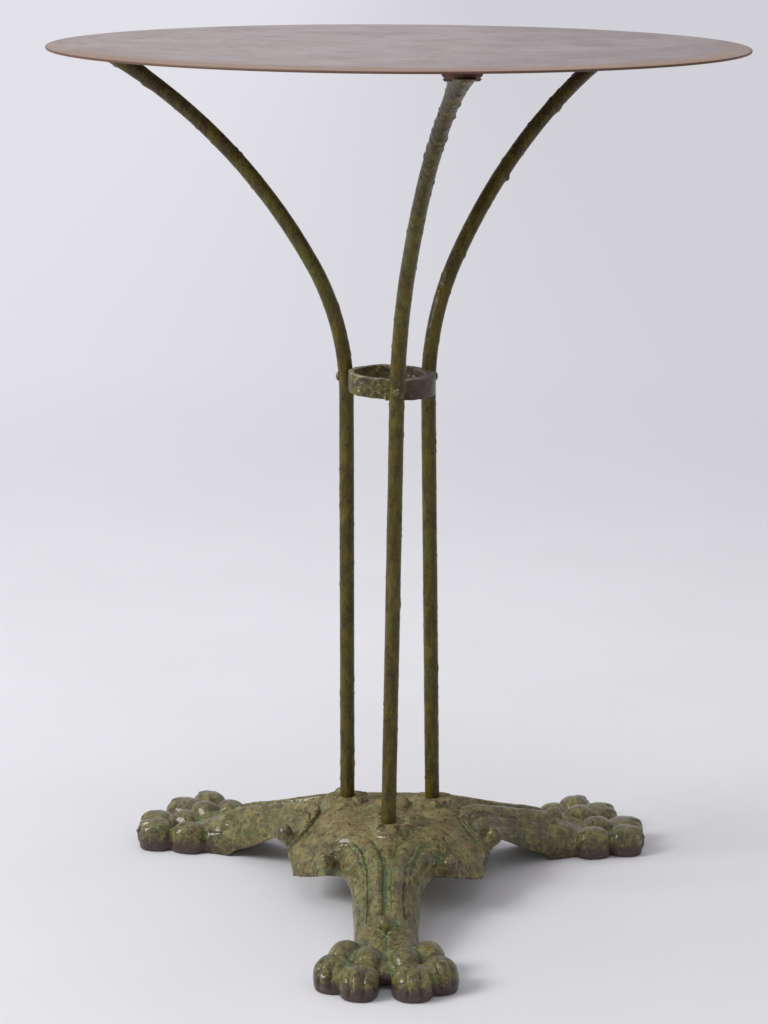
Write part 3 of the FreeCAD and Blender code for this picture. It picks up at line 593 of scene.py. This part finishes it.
def voxel_copy(node, voxel):
    """A closed, evenly meshed copy of a CAD node."""
    thing = nodes[node].copy()
    thing.data = nodes[node].data.copy()
    thing.parent = None
    for key in list(thing.keys()):
        del thing[key]
    thing.name = node + "_visual"
    thing.data.name = thing.name
    thing.data.materials.clear()
    bpy.context.scene.collection.objects.link(thing)
    remesh = thing.modifiers.new("remesh", "REMESH")
    remesh.mode = "VOXEL"
    remesh.voxel_size = voxel
    bpy.context.view_layer.update()
    mesh = bpy.data.meshes.new_from_object(
        thing.evaluated_get(bpy.context.evaluated_depsgraph_get()))
    old = thing.data
    thing.modifiers.clear()
    thing.data = mesh
    bpy.data.meshes.remove(old)
    thing.data.name = thing.name
    smooth_faces(mesh)
    return thing


def dress(thing, slot, node):
    """Puts a piece in the place of its CAD node, on the one body, with its slot and material."""
    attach(thing, "root")
    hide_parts(node)
    paint(thing, PAINTS[slot])


def paint_lumps(co, random, count, low, high, sizes, heights):
    """Drips and grit in old paint: small bumps at random places on the surface."""
    lift = np.zeros(len(co))
    pool = np.flatnonzero((co[:, 2] > low) & (co[:, 2] < high))
    for start in random.choice(pool, count):
        size = random.uniform(*sizes) * MM
        near = np.abs(co[:, 2] - co[start, 2]) < 5 * size
        offset = co[near] - co[start]
        offset[:, 2] *= random.uniform(0.35, 1.0)
        reach = np.exp(-0.5 * (offset ** 2).sum(1) / size ** 2)
        lift[near] = np.maximum(lift[near], reach * random.uniform(*heights))
    return lift


def flare_end(co):
    """Widens a rod's upper end and seats it against its pad."""
    length, straight = 30 * MM, 22 * MM
    top = co[:, 2].max()
    pool = co[(co[:, 2] > top - straight) & (co[:, 2] < top - 4 * MM)]
    axes = [np.polyfit(pool[:, 2], pool[:, axis], 1) for axis in (0, 1)]
    flare = np.clip((co[:, 2] - top + length) / length, 0, 1)
    grow = 0.14 * flare + 0.46 * flare ** 4
    for axis in (0, 1):
        centre = np.polyval(axes[axis], co[:, 2])
        co[:, axis] = np.where(flare > 0, centre + (co[:, axis] - centre) * (1 + grow), co[:, axis])
    co[:, 2] += 0.9 * MM * flare ** 6


def make_rod(name):
    """A rod with its flared end, uneven paint and drips, but no lumps below the boss's top."""
    seed = RODS.index(name)
    random = np.random.default_rng(40 + seed)
    thing = voxel_copy("rod_" + name, (1.0) * MM)
    relax(thing, 9)
    co, normal = arrays(thing)
    flare_end(co)
    p = co / MM
    lift = 0.22 + 0.09 * fractal(p * (1, 1, 0.5), 14, 5 + seed) + 0.06 * fractal(p, 3.2, 15 + seed, 2)
    lift += paint_lumps(co, random, 190, 0.08, 0.72, (0.5, 1.1), (0.15, 0.6))
    lift += paint_lumps(co, random, 22, 0.1, 0.72, (1.0, 1.8), (0.3, 0.9))
    lift += paint_lumps(co, random, 14, 0.66, 0.725, (1.1, 2.2), (0.3, 1.0))
    if name == "right":
        # thick drips
        lift += paint_lumps(co, np.random.default_rng(8), 2, 0.614, 0.618, (1.0, 1.4), (1.6, 2.0))
    above_boss = np.clip((co[:, 2] - 0.074) / 0.004, 0, 1)
    set_points(thing, co + normal * (lift * above_boss * MM)[:, None])
    attribute(thing, "cavity", hollowness(thing, 8))
    dress(thing, "rod_paint", "rod_" + name)


def make_small(node, slot, voxel, rough, seed):
    """A small forged piece: the CAD solid with its edges worn and its faces uneven."""
    thing = voxel_copy(node, voxel * MM)
    relax(thing, 3)
    co, normal = arrays(thing)
    p = co / MM
    lift = rough * fractal(p, 7, seed) + 0.4 * rough * fractal(p, 2.4, seed + 3, 2)
    set_points(thing, co + normal * (lift * MM)[:, None])
    attribute(thing, "cavity", hollowness(thing, 6))
    dress(thing, slot, node)


# Table top --------

def sheet_profile(radius, upper, under):
    """Rings of the sheet as (radius, height), from the middle of its face round to its underside."""
    rings, edge = 40, 0.6 * MM
    turns = [math.radians(15 * n) for n in range(7)]
    profile = [(radius * n / rings, upper) for n in range(1, rings)]
    profile += [(radius - edge + edge * math.sin(turn), upper - edge + edge * math.cos(turn))
                for turn in turns]
    profile += [(radius - edge + edge * math.cos(turn), under + edge - edge * math.sin(turn))
                for turn in turns]
    return profile + [(radius * n / rings, under) for n in range(rings - 1, 0, -1)]


def make_table_top():
    """The sheet as rings round its centre: faintly uneven, with a rounded rim."""
    low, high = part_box("table_top")
    radius, upper, under = high.x, high.z, low.z
    profile = sheet_profile(radius, upper, under)
    around = 360
    turns = np.radians(np.arange(around) * 360 / around)
    rings = np.array([[(r * math.cos(a), r * math.sin(a), z) for a in turns] for r, z in profile])
    vertices = np.vstack([rings.reshape(-1, 3), (0, 0, upper), (0, 0, under)])
    start = np.arange(around)
    after = (start + 1) % around
    quads = [np.stack([n + start, n + start + around, n + after + around, n + after], 1)
             for n in range(0, (len(profile) - 1) * around, around)]
    thing = make_mesh("table_top_visual", vertices, np.concatenate(quads))
    last = (len(profile) - 1) * around
    middle_above, middle_below = len(vertices) - 2, len(vertices) - 1
    caps = [(middle_above, n, (n + 1) % around) for n in range(around)]
    caps += [(middle_below, last + (n + 1) % around, last + n) for n in range(around)]
    join(thing, make_mesh("caps", vertices, caps))
    co, _ = arrays(thing)
    flat = co / MM * (1, 1, 0)
    wave = 0.03 * fractal(flat, 90, 21) + 0.01 * fractal(flat, 20, 22)
    upside = co[:, 2] > (upper + under) / 2
    co[:, 2] += np.where(upside, wave - 0.06, 0) * MM
    co[:, 0] += (low.x + high.x) / 2
    co[:, 1] += (low.y + high.y) / 2
    set_points(thing, co)
    dress(thing, "bare_steel", "table_top")


def join(thing, other):
    """Adds other's mesh to thing's, and welds them."""
    both = bmesh.new()
    both.from_mesh(thing.data)
    both.from_mesh(other.data)
    bmesh.ops.remove_doubles(both, verts=both.verts, dist=1e-6)
    bmesh.ops.recalc_face_normals(both, faces=both.faces)
    both.to_mesh(thing.data)
    both.free()
    bpy.data.objects.remove(other)
    smooth_faces(thing.data)
    thing.data.update()


# Materials --------

class Shader:
    """Builds one node material, with its colour so far."""

    def __init__(self, name):
        self.material = bpy.data.materials.new(name)
        self.material.use_nodes = True
        self.tree = self.material.node_tree
        self.tree.nodes.clear()
        self.place = self.node("TexCoord").outputs["Object"]
        self.colour = None

    def node(self, kind, inputs=None, **settings):
        """A new node. An input is a value or another node's output."""
        node = self.tree.nodes.new("ShaderNode" + kind)
        for key, value in settings.items():
            setattr(node, key, value)
        for key, value in (inputs or {}).items():
            if isinstance(value, bpy.types.NodeSocket):
                self.tree.links.new(value, node.inputs[key])
            else:
                node.inputs[key].default_value = value
        return node

    def math(self, operation, first, second=0.0, clamp=False):
        return self.node("Math", {0: first, 1: second}, operation=operation,
                         use_clamp=clamp).outputs[0]

    def plus(self, first, second, clamp=False):
        return self.math("ADD", first, second, clamp)

    def times(self, first, second, clamp=False):
        return self.math("MULTIPLY", first, second, clamp)

    def stretched(self, x, y, z):
        """The place, scaled along each axis: less than 1 draws a noise out along it."""
        return self.node("Mapping", {"Vector": self.place, "Scale": (x, y, z)}).outputs[0]

    def noise(self, size, detail=4.0, rough=0.6, bend=0.0, place=None):
        """Noise with features about size millimetres across."""
        return self.node("TexNoise", {"Vector": place or self.place, "Scale": 1000.0 / size,
                                      "Detail": detail, "Roughness": rough,
                                      "Distortion": bend}).outputs["Fac"]

    def ramp(self, value, low, high, to_low=0.0, to_high=1.0):
        """A smooth step from to_low, where the value is low, to to_high."""
        return self.node("MapRange", {"Value": value, "From Min": low, "From Max": high,
                                      "To Min": to_low, "To Max": to_high},
                         interpolation_type="SMOOTHSTEP").outputs["Result"]

    def mix(self, share, first, second):
        """first where share is 0, second where it is 1."""
        node = self.node("Mix", data_type="RGBA")
        for socket, value in zip((node.inputs[0], node.inputs[6], node.inputs[7]), (share, first, second)):
            if isinstance(value, bpy.types.NodeSocket):
                self.tree.links.new(value, socket)
            else:
                socket.default_value = value if isinstance(value, float) else (*value, 1)
        return node.outputs[2]

    def cover(self, share, most, layer):
        """Covers the colour with a layer, as much as most where share is 1."""
        self.colour = self.mix(self.times(share, most), self.colour, layer)

    def shade(self, share, by):
        """Multiplies the colour by another where share is 1."""
        self.colour = self.mix(share, self.colour, by)
        self.colour.node.blend_type = "MULTIPLY"

    def attribute(self, name):
        """A number kept for each vertex."""
        return self.node("Attribute", attribute_name=name).outputs["Fac"]

    def along(self, axis):
        """The place along X, Y or Z, in metres."""
        return self.node("SeparateXYZ", {0: self.place}).outputs[axis]

    def reach(self):
        """Distance from the Z axis."""
        flat = self.node("VectorMath", {0: self.place, 1: (1, 1, 0)}, operation="MULTIPLY").outputs[0]
        return self.node("VectorMath", {0: flat}, operation="LENGTH").outputs["Value"]

    def facing_up(self):
        """1 where a face looks up, -1 where it looks down."""
        normal = self.node("NewGeometry").outputs["Normal"]
        return self.node("SeparateXYZ", {0: normal}).outputs["Z"]

    def bump(self, height, distance, strength=1.0, under=None):
        """A normal from a height, over the normal of another bump."""
        inputs = {"Height": height, "Distance": distance, "Strength": strength}
        if under is not None:
            inputs["Normal"] = under
        return self.node("Bump", inputs).outputs[0]

    def finish(self, **inputs):
        """Ends the material with a principled shader. Its other inputs are given by name."""
        inputs = {key.replace("_", " "): value for key, value in inputs.items()}
        inputs["Base Color"] = self.colour
        shader = self.node("BsdfPrincipled", inputs)
        out = self.node("OutputMaterial")
        self.tree.links.new(shader.outputs[0], out.inputs[0])
        return self.material


# On the casting: olive paint, and what lies on it or shows through it.
OLIVE = (0.262, 0.228, 0.06)
OLIVE_DARK = (0.094, 0.078, 0.018)
OLIVE_GREEN = (0.105, 0.125, 0.035)
OLIVE_SPECK = (0.05, 0.04, 0.012)
DUSTY = (0.345, 0.278, 0.14)
SOOT = (0.66, 0.62, 0.58)
SOOT_SPECK = (0.72, 0.7, 0.66)
OLD_GREEN = (0.235, 0.42, 0.15)
LINE_DARK = (0.045, 0.034, 0.014)
BROWN = (0.06, 0.034, 0.022)
MAROON = (0.05, 0.026, 0.022)
RUST = (0.24, 0.085, 0.032)
GRIT = (0.36, 0.31, 0.17)

# On the rods.
ROD_OLIVE = (0.098, 0.076, 0.006)
ROD_DARK = (0.05, 0.036, 0.004)
ROD_GREEN = (0.075, 0.085, 0.012)
ROD_DUST = (0.18, 0.145, 0.055)
ROD_CHIP = (0.048, 0.022, 0.01)
ROD_RUST = (0.17, 0.055, 0.012)
ROD_SPECK = (0.22, 0.2, 0.075)
ROD_HOLLOW_SHADE = (0.025, 0.018, 0.006)

# On the collar and its rivets.
COLLAR_OLIVE = (0.125, 0.105, 0.014)
COLLAR_DARK = (0.04, 0.028, 0.01)
COLLAR_DUST_AND_HIGHLIGHT = (0.5, 0.46, 0.3)
COLLAR_CHIP = (0.042, 0.024, 0.016)
COLLAR_RUST = (0.22, 0.07, 0.02)
COLLAR_BARE_AND_SHADE = (0.055, 0.04, 0.034)

# On the bare iron of the pads, washers and nuts, and on the top's rivets.
IRON = (0.15, 0.074, 0.052)
IRON_DARK = (0.075, 0.042, 0.034)
IRON_RUST = (0.15, 0.05, 0.022)
RIVET = (0.34, 0.3, 0.29)
RIVET_DARK = (0.2, 0.16, 0.14)
RIVET_RUST = (0.12, 0.06, 0.042)
RIVET_RUST_DARK = (0.06, 0.034, 0.028)

# On the steel of the top.
STEEL = (0.405, 0.345, 0.335)
STEEL_DARK = (0.325, 0.275, 0.262)
STEEL_TURNED = (0.265, 0.23, 0.222)
STEEL_SMEAR = (0.225, 0.18, 0.16)
STEEL_SIDE_SHADE = (0.76, 0.75, 0.76)
STEEL_STREAK = (0.55, 0.5, 0.48)
STEEL_RUST = (0.27, 0.165, 0.108)
STEEL_RING = (0.22, 0.175, 0.16)
STEEL_FLECK = (0.19, 0.135, 0.115)
STEEL_RIM_SHADE = (0.1, 0.05, 0.03)

# Round the object.
PAPER = (0.87, 0.86, 0.9)
PAPER_SHADE = (0.84, 0.832, 0.87)
PAPER_WEAVE = (0.78, 0.77, 0.81)
BACKGROUND_LIT_LEFT = (0.765, 0.757, 0.805)
BACKGROUND_SHADED_RIGHT = (0.64, 0.632, 0.68)
SKYLIGHT = (0.9, 0.895, 0.92)


def casting_paint():
    """Glossy olive paint, dusty and worn, over old green and brown iron."""
    s = Shader("casting_paint")
    cavity, broad = s.attribute("cavity"), s.attribute("broad_cavity")
    height, up, out = s.along("Z"), s.facing_up(), s.reach()
    fine = s.noise(5, 6, 0.7)
    s.colour = s.mix(s.ramp(s.noise(11, 6, 0.7, 0.4), 0.38, 0.64), OLIVE, OLIVE_DARK)
    s.cover(s.ramp(s.noise(34, 4, 0.6, 0.4), 0.46, 0.62), 0.45, OLIVE_GREEN)
    mottle = s.ramp(s.noise(4.5, 3, 0.65), 0.44, 0.62)
    s.cover(mottle, 0.3, OLIVE_SPECK)
    # dust and wear: matte grey-brown on the hub and on what looks up
    worn = s.plus(s.noise(24, 6, 0.7, 0.3), s.times(fine, 0.35))
    worn = s.plus(worn, s.ramp(out, 0.11, 0.05, -0.1, 0.1))
    worn = s.math("SUBTRACT", worn, s.ramp(out, 0.17, 0.215, 0, 0.12))
    worn = s.plus(worn, s.ramp(up, 0.2, 0.9, -0.08, 0.08))
    worn = s.ramp(worn, 0.6, 0.82)
    s.cover(worn, 0.72, DUSTY)
    s.shade(s.ramp(s.noise(13, 5, 0.65, 0.2), 0.44, 0.62), SOOT)
    s.shade(s.ramp(s.noise(4.5, 4, 0.7), 0.5, 0.64), SOOT_SPECK)
    # an older light green shows along grooves and in hollows, with more on the front leg's left flank as
    # painted light
    green = s.plus(s.ramp(cavity, 0, 0.8, 0, 0.55), s.ramp(broad, 0.2, 2.4, 0, 0.35))
    green = s.plus(green, s.ramp(s.noise(6, 6, 0.75, 0.8), 0.54, 0.66, 0, 0.9))
    shown = s.plus(s.noise(15, 5, 0.7, 0.5), s.times(s.attribute("near_boss"), 0.07))
    shown = s.plus(shown, s.times(s.attribute("old_paint_and_lit_flank"), 0.09))
    green = s.times(green, s.ramp(shown, 0.46, 0.6), clamp=True)
    s.cover(green, 0.85, OLD_GREEN)
    # the narrowest lines are painted darker, in patches
    dark_lines = s.times(s.ramp(cavity, 0.15, 0.8), s.ramp(s.noise(11, 4, 0.7), 0.56, 0.44))
    s.cover(dark_lines, 0.6, LINE_DARK)
    # chips to brown iron in small flakes, and where edges are rubbed
    rubbed = s.ramp(cavity, -0.35, -1.1, 0, 0.1)
    chips = s.plus(s.noise(7, 4, 0.7, 0.5), rubbed)
    chips = s.plus(chips, s.ramp(height, 0.006, 0.024, 0.1, 0))
    chips = s.ramp(chips, 0.575, 0.635)
    s.cover(chips, 0.82, BROWN)
    # the feet are bare and maroon near the floor
    ragged = s.times(s.noise(10, 6, 0.75, 0.5), 2.2)
    low = s.plus(s.ramp(height, 0.001, 0.024, 1, 0), ragged)
    low = s.times(s.ramp(low, 1.5, 1.8), s.ramp(out, 0.15, 0.19))
    s.cover(low, 0.88, MAROON)
    near_boss = s.times(s.attribute("near_boss"), 0.6)
    rust = s.plus(s.ramp(s.noise(40), 0.45, 0.6), near_boss, clamp=True)
    rust = s.times(s.ramp(s.noise(10, 6, 0.75, 0.5), 0.57, 0.66), rust)
    s.cover(rust, 0.65, RUST)
    s.colour = s.mix(s.ramp(s.noise(2.6, 2, 0.6), 0.62, 0.7, 0, 0.8), s.colour, BROWN)
    s.colour = s.mix(s.ramp(s.noise(2.2, 2, 0.6), 0.64, 0.72, 0, 0.6), s.colour, GRIT)
    rough = s.plus(s.ramp(worn, 0, 1, 0.26, 0.6), s.times(fine, 0.18))
    rough = s.plus(rough, s.times(chips, 0.1), clamp=True)
    bump = s.bump(s.noise(4.2, 5, 0.66), 0.0022, 0.9)
    bump = s.bump(s.ramp(s.noise(2.4, 2, 0.5), 0.56, 0.75), 0.001, 0.9, bump)
    bump = s.bump(s.times(chips, -1.0), 0.0004, 0.7, bump)
    gloss = s.ramp(worn, 0, 1, 0.55, 0.02)
    return s.finish(Roughness=rough, Normal=bump, Coat_Weight=gloss,
                    Coat_Roughness=0.08, Specular_IOR_Level=0.25)


def rod_paint():
    """Glossy dark olive paint, streaked down the rods."""
    s = Shader("rod_paint")
    cavity, height = s.attribute("cavity"), s.along("Z")
    streaks = s.noise(7, 6, 0.7, 0.5, s.stretched(1, 1, 0.3))
    s.colour = s.mix(s.ramp(streaks, 0.38, 0.62), ROD_OLIVE, ROD_DARK)
    green = s.ramp(s.noise(30, 4, 0.6, 0.3, s.stretched(1, 1, 0.5)), 0.48, 0.64)
    s.cover(green, 0.45, ROD_GREEN)
    dust = s.ramp(s.noise(13, 5, 0.7, 0.2, s.stretched(1, 1, 0.4)), 0.54, 0.68)
    s.cover(dust, 0.35, ROD_DUST)
    chips = s.noise(6, 6, 0.75, 0.6, s.stretched(1, 1, 0.45))
    chips = s.plus(chips, s.ramp(height, 0.58, 0.71, 0, 0.1))
    chips = s.ramp(chips, 0.56, 0.62)
    s.cover(chips, 0.85, ROD_CHIP)
    rust = s.ramp(s.noise(5, 5, 0.75, 0.6, s.stretched(1, 1, 0.6)), 0.64, 0.7)
    s.cover(rust, 0.55, ROD_RUST)
    specks = s.ramp(s.noise(1.8, 3, 0.7), 0.64, 0.72)
    s.cover(specks, 0.5, ROD_SPECK)
    # painted shade: the hollows round drips and lumps are painted darker
    hollow = s.times(s.ramp(cavity, 0.1, 0.4), 0.5)
    s.colour = s.mix(hollow, s.colour, ROD_HOLLOW_SHADE)
    rough = s.plus(s.ramp(dust, 0, 1, 0.2, 0.42), s.times(s.noise(4), 0.14))
    bump = s.bump(s.noise(2.4, 6, 0.7, 0.3, s.stretched(1, 1, 0.6)), 0.0006, 0.45)
    bump = s.bump(s.times(chips, -1.0), 0.0003, 0.6, bump)
    return s.finish(Roughness=rough, Normal=bump, Specular_IOR_Level=0.24)


def collar_paint():
    """Olive paint under pale dust that is partly painted highlight, mostly gone on one side, which is also
    painted darker as shade.
    """
    s = Shader("collar_paint")
    cavity, up = s.attribute("cavity"), s.facing_up()
    s.colour = s.mix(s.ramp(s.noise(9, 6, 0.7, 0.4), 0.4, 0.6), COLLAR_OLIVE, COLLAR_DARK)
    # pale dust, and painted highlight: more of it on faces that look up and on outer edges
    dust = s.plus(s.noise(6, 6, 0.78, 0.6), s.times(up, 0.1))
    dust = s.plus(dust, s.ramp(cavity, -0.15, -0.6, 0, 0.1))
    dust = s.ramp(dust, 0.55, 0.66)
    s.cover(dust, 0.9, COLLAR_DUST_AND_HIGHLIGHT)
    chips = s.ramp(s.noise(4.5, 6, 0.78, 0.5), 0.56, 0.62)
    s.cover(chips, 0.85, COLLAR_CHIP)
    rust = s.ramp(s.noise(4, 5, 0.75), 0.62, 0.68)
    s.cover(rust, 0.7, COLLAR_RUST)
    # the side away from the seam has lost most of its paint, and that side is also painted darker as shade
    bare_and_shade = s.along("X")
    ragged = s.times(s.noise(9, 5, 0.7), 1.2)
    bare_and_shade = s.plus(s.ramp(bare_and_shade, -0.004, 0.022), ragged)
    bare_and_shade = s.ramp(bare_and_shade, 1, 1.4)
    s.cover(bare_and_shade, 0.75, COLLAR_BARE_AND_SHADE)
    rough = s.ramp(dust, 0, 1, 0.3, 0.6)
    bump = s.bump(s.noise(2.6, 6, 0.75), 0.0014, 0.9)
    return s.finish(Roughness=rough, Normal=bump, Specular_IOR_Level=0.3)


def rusty_iron():
    """Unpainted iron, dark and matt."""
    s = Shader("rusty_iron")
    s.colour = s.mix(s.ramp(s.noise(6, 6, 0.7, 0.3), 0.36, 0.66), IRON, IRON_DARK)
    rust = s.ramp(s.noise(3, 5, 0.7), 0.56, 0.68)
    s.cover(rust, 0.5, IRON_RUST)
    bump = s.bump(s.noise(1.6, 6, 0.75), 0.0008, 0.7)
    return s.finish(Roughness=s.ramp(rust, 0, 1, 0.7, 0.9), Normal=bump,
                    Specular_IOR_Level=0.1)


def bare_steel():
    """The top: turned in faint rings, blotched, painted darker to one side as shade, rusty along its rim
    and painted dark at its very edge as shade.
    """
    s = Shader("bare_steel")
    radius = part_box("table_top")[1].x
    r = s.reach()
    rings = s.node("CombineXYZ", {"X": r}).outputs[0]
    turned = s.noise(3.5, 4, 0.7, 0, rings)
    blots = s.noise(60, 6, 0.65, 0.4)
    smears = s.noise(18, 6, 0.7, 0.8)
    s.colour = s.mix(s.ramp(blots, 0.34, 0.68), STEEL, STEEL_DARK)
    s.cover(s.ramp(turned, 0.4, 0.7), 0.35, STEEL_TURNED)
    s.cover(s.ramp(smears, 0.51, 0.62), 0.45, STEEL_SMEAR)
    # painted shade: the right side is painted darker, in broad clouds
    side = s.along("X")
    clouds = s.times(s.noise(110, 4, 0.6, 0.5), 1.6)
    side_shade = s.plus(s.times(side, 1.0 / radius), clouds)
    s.shade(s.ramp(side_shade, 0.55, 1.55), STEEL_SIDE_SHADE)
    streaks = s.noise(6, 5, 0.7, 0.3, s.stretched(0.22, 1, 1))
    s.shade(s.ramp(streaks, 0.58, 0.72, 0, 0.45), STEEL_STREAK)
    # rust creeps in from the rim, more so on the side of the front leg
    front = s.times(s.along("Y"), -1.0 / radius)
    ragged = s.times(s.noise(30, 6, 0.7, 0.6), 0.9)
    edge = s.plus(s.ramp(r, radius - 0.085, radius - 0.002), ragged)
    edge = s.plus(edge, s.times(front, 0.55))
    rust = s.ramp(edge, 1.12, 1.8)
    s.cover(rust, 0.85, STEEL_RUST)
    wander = s.plus(r, s.times(s.noise(120, 3), 0.05))
    wander = s.node("CombineXYZ", {"X": wander}).outputs[0]
    worn_rings = s.ramp(s.noise(15, 5, 0.7, 0, wander), 0.5, 0.64)
    s.cover(worn_rings, 0.3, STEEL_RING)
    fleck = s.ramp(s.noise(7, 6, 0.8, 0.6), 0.54, 0.62)
    s.cover(fleck, 0.42, STEEL_FLECK)
    # painted shade: the last millimetre of the rim, round its edge, is painted dark
    rim = s.ramp(r, radius - 0.0012, radius - 0.0002)
    s.cover(rim, 0.85, STEEL_RIM_SHADE)
    rough = s.plus(s.ramp(blots, 0.3, 0.7, 0.4, 0.52), s.times(rust, 0.15))
    metal = s.ramp(rust, 0, 1, 0.75, 0.25)
    bump = s.bump(s.noise(1.5, 4, 0.7, 0, rings), 0.0001, 0.25)
    bump = s.bump(s.noise(4, 6, 0.7), 0.0002, 0.3, bump)
    return s.finish(Roughness=rough, Metallic=metal, Normal=bump)


def rivet_steel():
    """Steel worn bright above the top, and rusty below it."""
    s = Shader("rivet_steel")
    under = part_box("table_top")[0].z
    shown = s.ramp(s.along("Z"), under, under + 0.001)
    grain = s.ramp(s.noise(3, 5, 0.7), 0.36, 0.66)
    steel = s.mix(grain, RIVET, RIVET_DARK)
    rust = s.mix(grain, RIVET_RUST, RIVET_RUST_DARK)
    s.colour = s.mix(shown, rust, steel)
    bump = s.bump(s.noise(1.2, 5, 0.7), 0.0003, 0.5)
    rough = s.ramp(s.noise(2), 0.3, 0.7, 0.65, 0.85)
    rough = s.math("SUBTRACT", rough, s.times(shown, 0.25))
    metal = s.times(shown, 0.7)
    return s.finish(Roughness=rough, Metallic=metal, Normal=bump)


def floor_paper():
    """Pale paper that takes the shadows near the object. Far out it is only seen, not lit, so that the
    background never clips; there it glows with painted light, paler to the left, darker to the right."""
    s = Shader("floor_paper")
    weave = s.noise(5, 3, 0.6)
    s.colour = s.mix(s.ramp(s.noise(260, 3, 0.5), 0.3, 0.7), PAPER, PAPER_SHADE)
    s.cover(s.ramp(weave, 0.4, 0.7), 0.1, PAPER_WEAVE)
    bump = s.bump(weave, 0.0004, 0.25)
    s.finish(Roughness=0.85, Normal=bump)
    lit = s.tree.nodes["Principled BSDF"]
    out = s.tree.nodes["Material Output"]
    # painted light: far out the floor glows paler on the left, toward the key light, and darker on the
    # right
    side = s.along("X")
    seen = s.mix(s.ramp(side, -0.9, 0.7), BACKGROUND_LIT_LEFT, BACKGROUND_SHADED_RIGHT)
    glow = s.node("Emission", {"Color": seen, "Strength": 1.0})
    path = s.node("LightPath").outputs
    viewed = s.plus(path["Is Camera Ray"], path["Is Glossy Ray"])
    viewed = s.plus(viewed, path["Is Transmission Ray"], clamp=True)
    far = s.times(s.ramp(s.reach(), 0.7, 2.6), viewed)
    blend = s.node("MixShader", {0: far, 1: lit.outputs[0], 2: glow.outputs[0]})
    s.tree.links.new(blend.outputs[0], out.inputs[0])
    return s.material


def paint(thing, material):
    """Gives a whole piece one material."""
    thing.data.materials.clear()
    thing.data.materials.append(material)
    thing.data.polygons.foreach_set("material_index", np.zeros(len(thing.data.polygons), np.int32))


# The pieces -------

PAINTS = {
    "casting_paint": casting_paint(),
    "rod_paint": rod_paint(),
    "collar_paint": collar_paint(),
    "rusty_iron": rusty_iron(),
    "bare_steel": bare_steel(),
    "rivet_steel": rivet_steel(),
}

# CAD pieces shown as they are, with their slots.
KEPT_SHAPES = {"top_rivets_": "rivet_steel", "rod_washer_": "rusty_iron", "rod_nut_": "rusty_iron"}

make_casting()
for rod_name in RODS:
    make_rod(rod_name)
make_small("collar_ring", "collar_paint", 0.7, 0.34, 61)
for number, rod_name in enumerate(RODS):
    make_small("top_pad_" + rod_name, "rusty_iron", 0.7, 0.28, 70 + number)
    make_small("collar_rivet_" + rod_name, "collar_paint", 0.5, 0.16, 80 + number)
    for kind, slot in KEPT_SHAPES.items():
        for place in nodes[kind + rod_name].material_slots:
            place.material = PAINTS[slot]
make_table_top()


# Stage ------------

def make_stage():
    """A wide round floor."""
    reach, around = 60.0, 96
    turns = [2 * math.pi * n / around for n in range(around)]
    vertices = [(0, 0, 0)] + [(reach * math.cos(a), reach * math.sin(a), 0) for a in turns]
    faces = [(0, n + 1, (n + 1) % around + 1) for n in range(around)]
    floor = make_mesh("floor", vertices, faces)
    return floor


def make_world():
    """Even soft light, and the same pale background as the far floor where it is seen."""
    world = bpy.data.worlds.new("studio")
    bpy.context.scene.world = world
    world.use_nodes = True
    parts, links = world.node_tree.nodes, world.node_tree.links
    soft = parts["Background"]
    soft.inputs["Color"].default_value = (*SKYLIGHT, 1)
    soft.inputs["Strength"].default_value = 0.40
    backdrop = parts.new("ShaderNodeBackground")
    middle = [(a + b) / 2 for a, b in zip(BACKGROUND_LIT_LEFT, BACKGROUND_SHADED_RIGHT)]
    backdrop.inputs["Color"].default_value = (*middle, 1)
    path = parts.new("ShaderNodeLightPath")
    share = path.outputs["Is Camera Ray"]
    for kind in ("Is Glossy Ray", "Is Transmission Ray"):
        either = parts.new("ShaderNodeMath")
        either.operation = "MAXIMUM"
        links.new(share, either.inputs[0])
        links.new(path.outputs[kind], either.inputs[1])
        share = either.outputs[0]
    blend = parts.new("ShaderNodeMixShader")
    links.new(share, blend.inputs[0])
    links.new(soft.outputs[0], blend.inputs[1])
    links.new(backdrop.outputs[0], blend.inputs[2])
    links.new(blend.outputs[0], parts["World Output"].inputs["Surface"])


def area_light(name, place, target, size, power):
    """A white soft box turned to its target: size in metres, power in watts."""
    data = bpy.data.lights.new(name, "AREA")
    data.shape = "RECTANGLE"
    data.size, data.size_y = size
    data.energy = power
    thing = bpy.data.objects.new(name, data)
    bpy.context.scene.collection.objects.link(thing)
    thing.location = place
    aim = Vector(target) - Vector(place)
    thing.rotation_euler = aim.to_track_quat("-Z", "Y").to_euler()


def make_camera():
    """The camera as fitted to the photograph, looking a little down."""
    place = (-0.0099, -2.1713, 0.8753)
    looking_down, rolled = 13.88, 0.32
    data = bpy.data.cameras.new("camera")
    data.sensor_fit = "VERTICAL"
    data.sensor_height = 36
    data.lens = 91.71
    data.clip_end = 50
    thing = bpy.data.objects.new("camera", data)
    bpy.context.scene.collection.objects.link(thing)
    tilt = Matrix.Rotation(math.radians(90 - looking_down), 4, "X")
    roll = Matrix.Rotation(math.radians(rolled), 4, "Z")
    thing.matrix_world = Matrix.Translation(place) @ tilt @ roll
    bpy.context.scene.camera = thing


make_camera()
paint(make_stage(), floor_paper())
area_light("key", (-4.6, -1.8, 3.5), (0, 0, 0.35), (2.3, 2.5), 238)
area_light("fill", (2.2, -1.8, 1.6), (0, 0, 0.4), (1.8, 1.8), 2)
area_light("overhead", (-0.2, 0.1, 2.8), (0, 0, 0), (2.8, 2.8), 24)
make_world()
bpy.context.scene.view_settings.view_transform = "Standard"
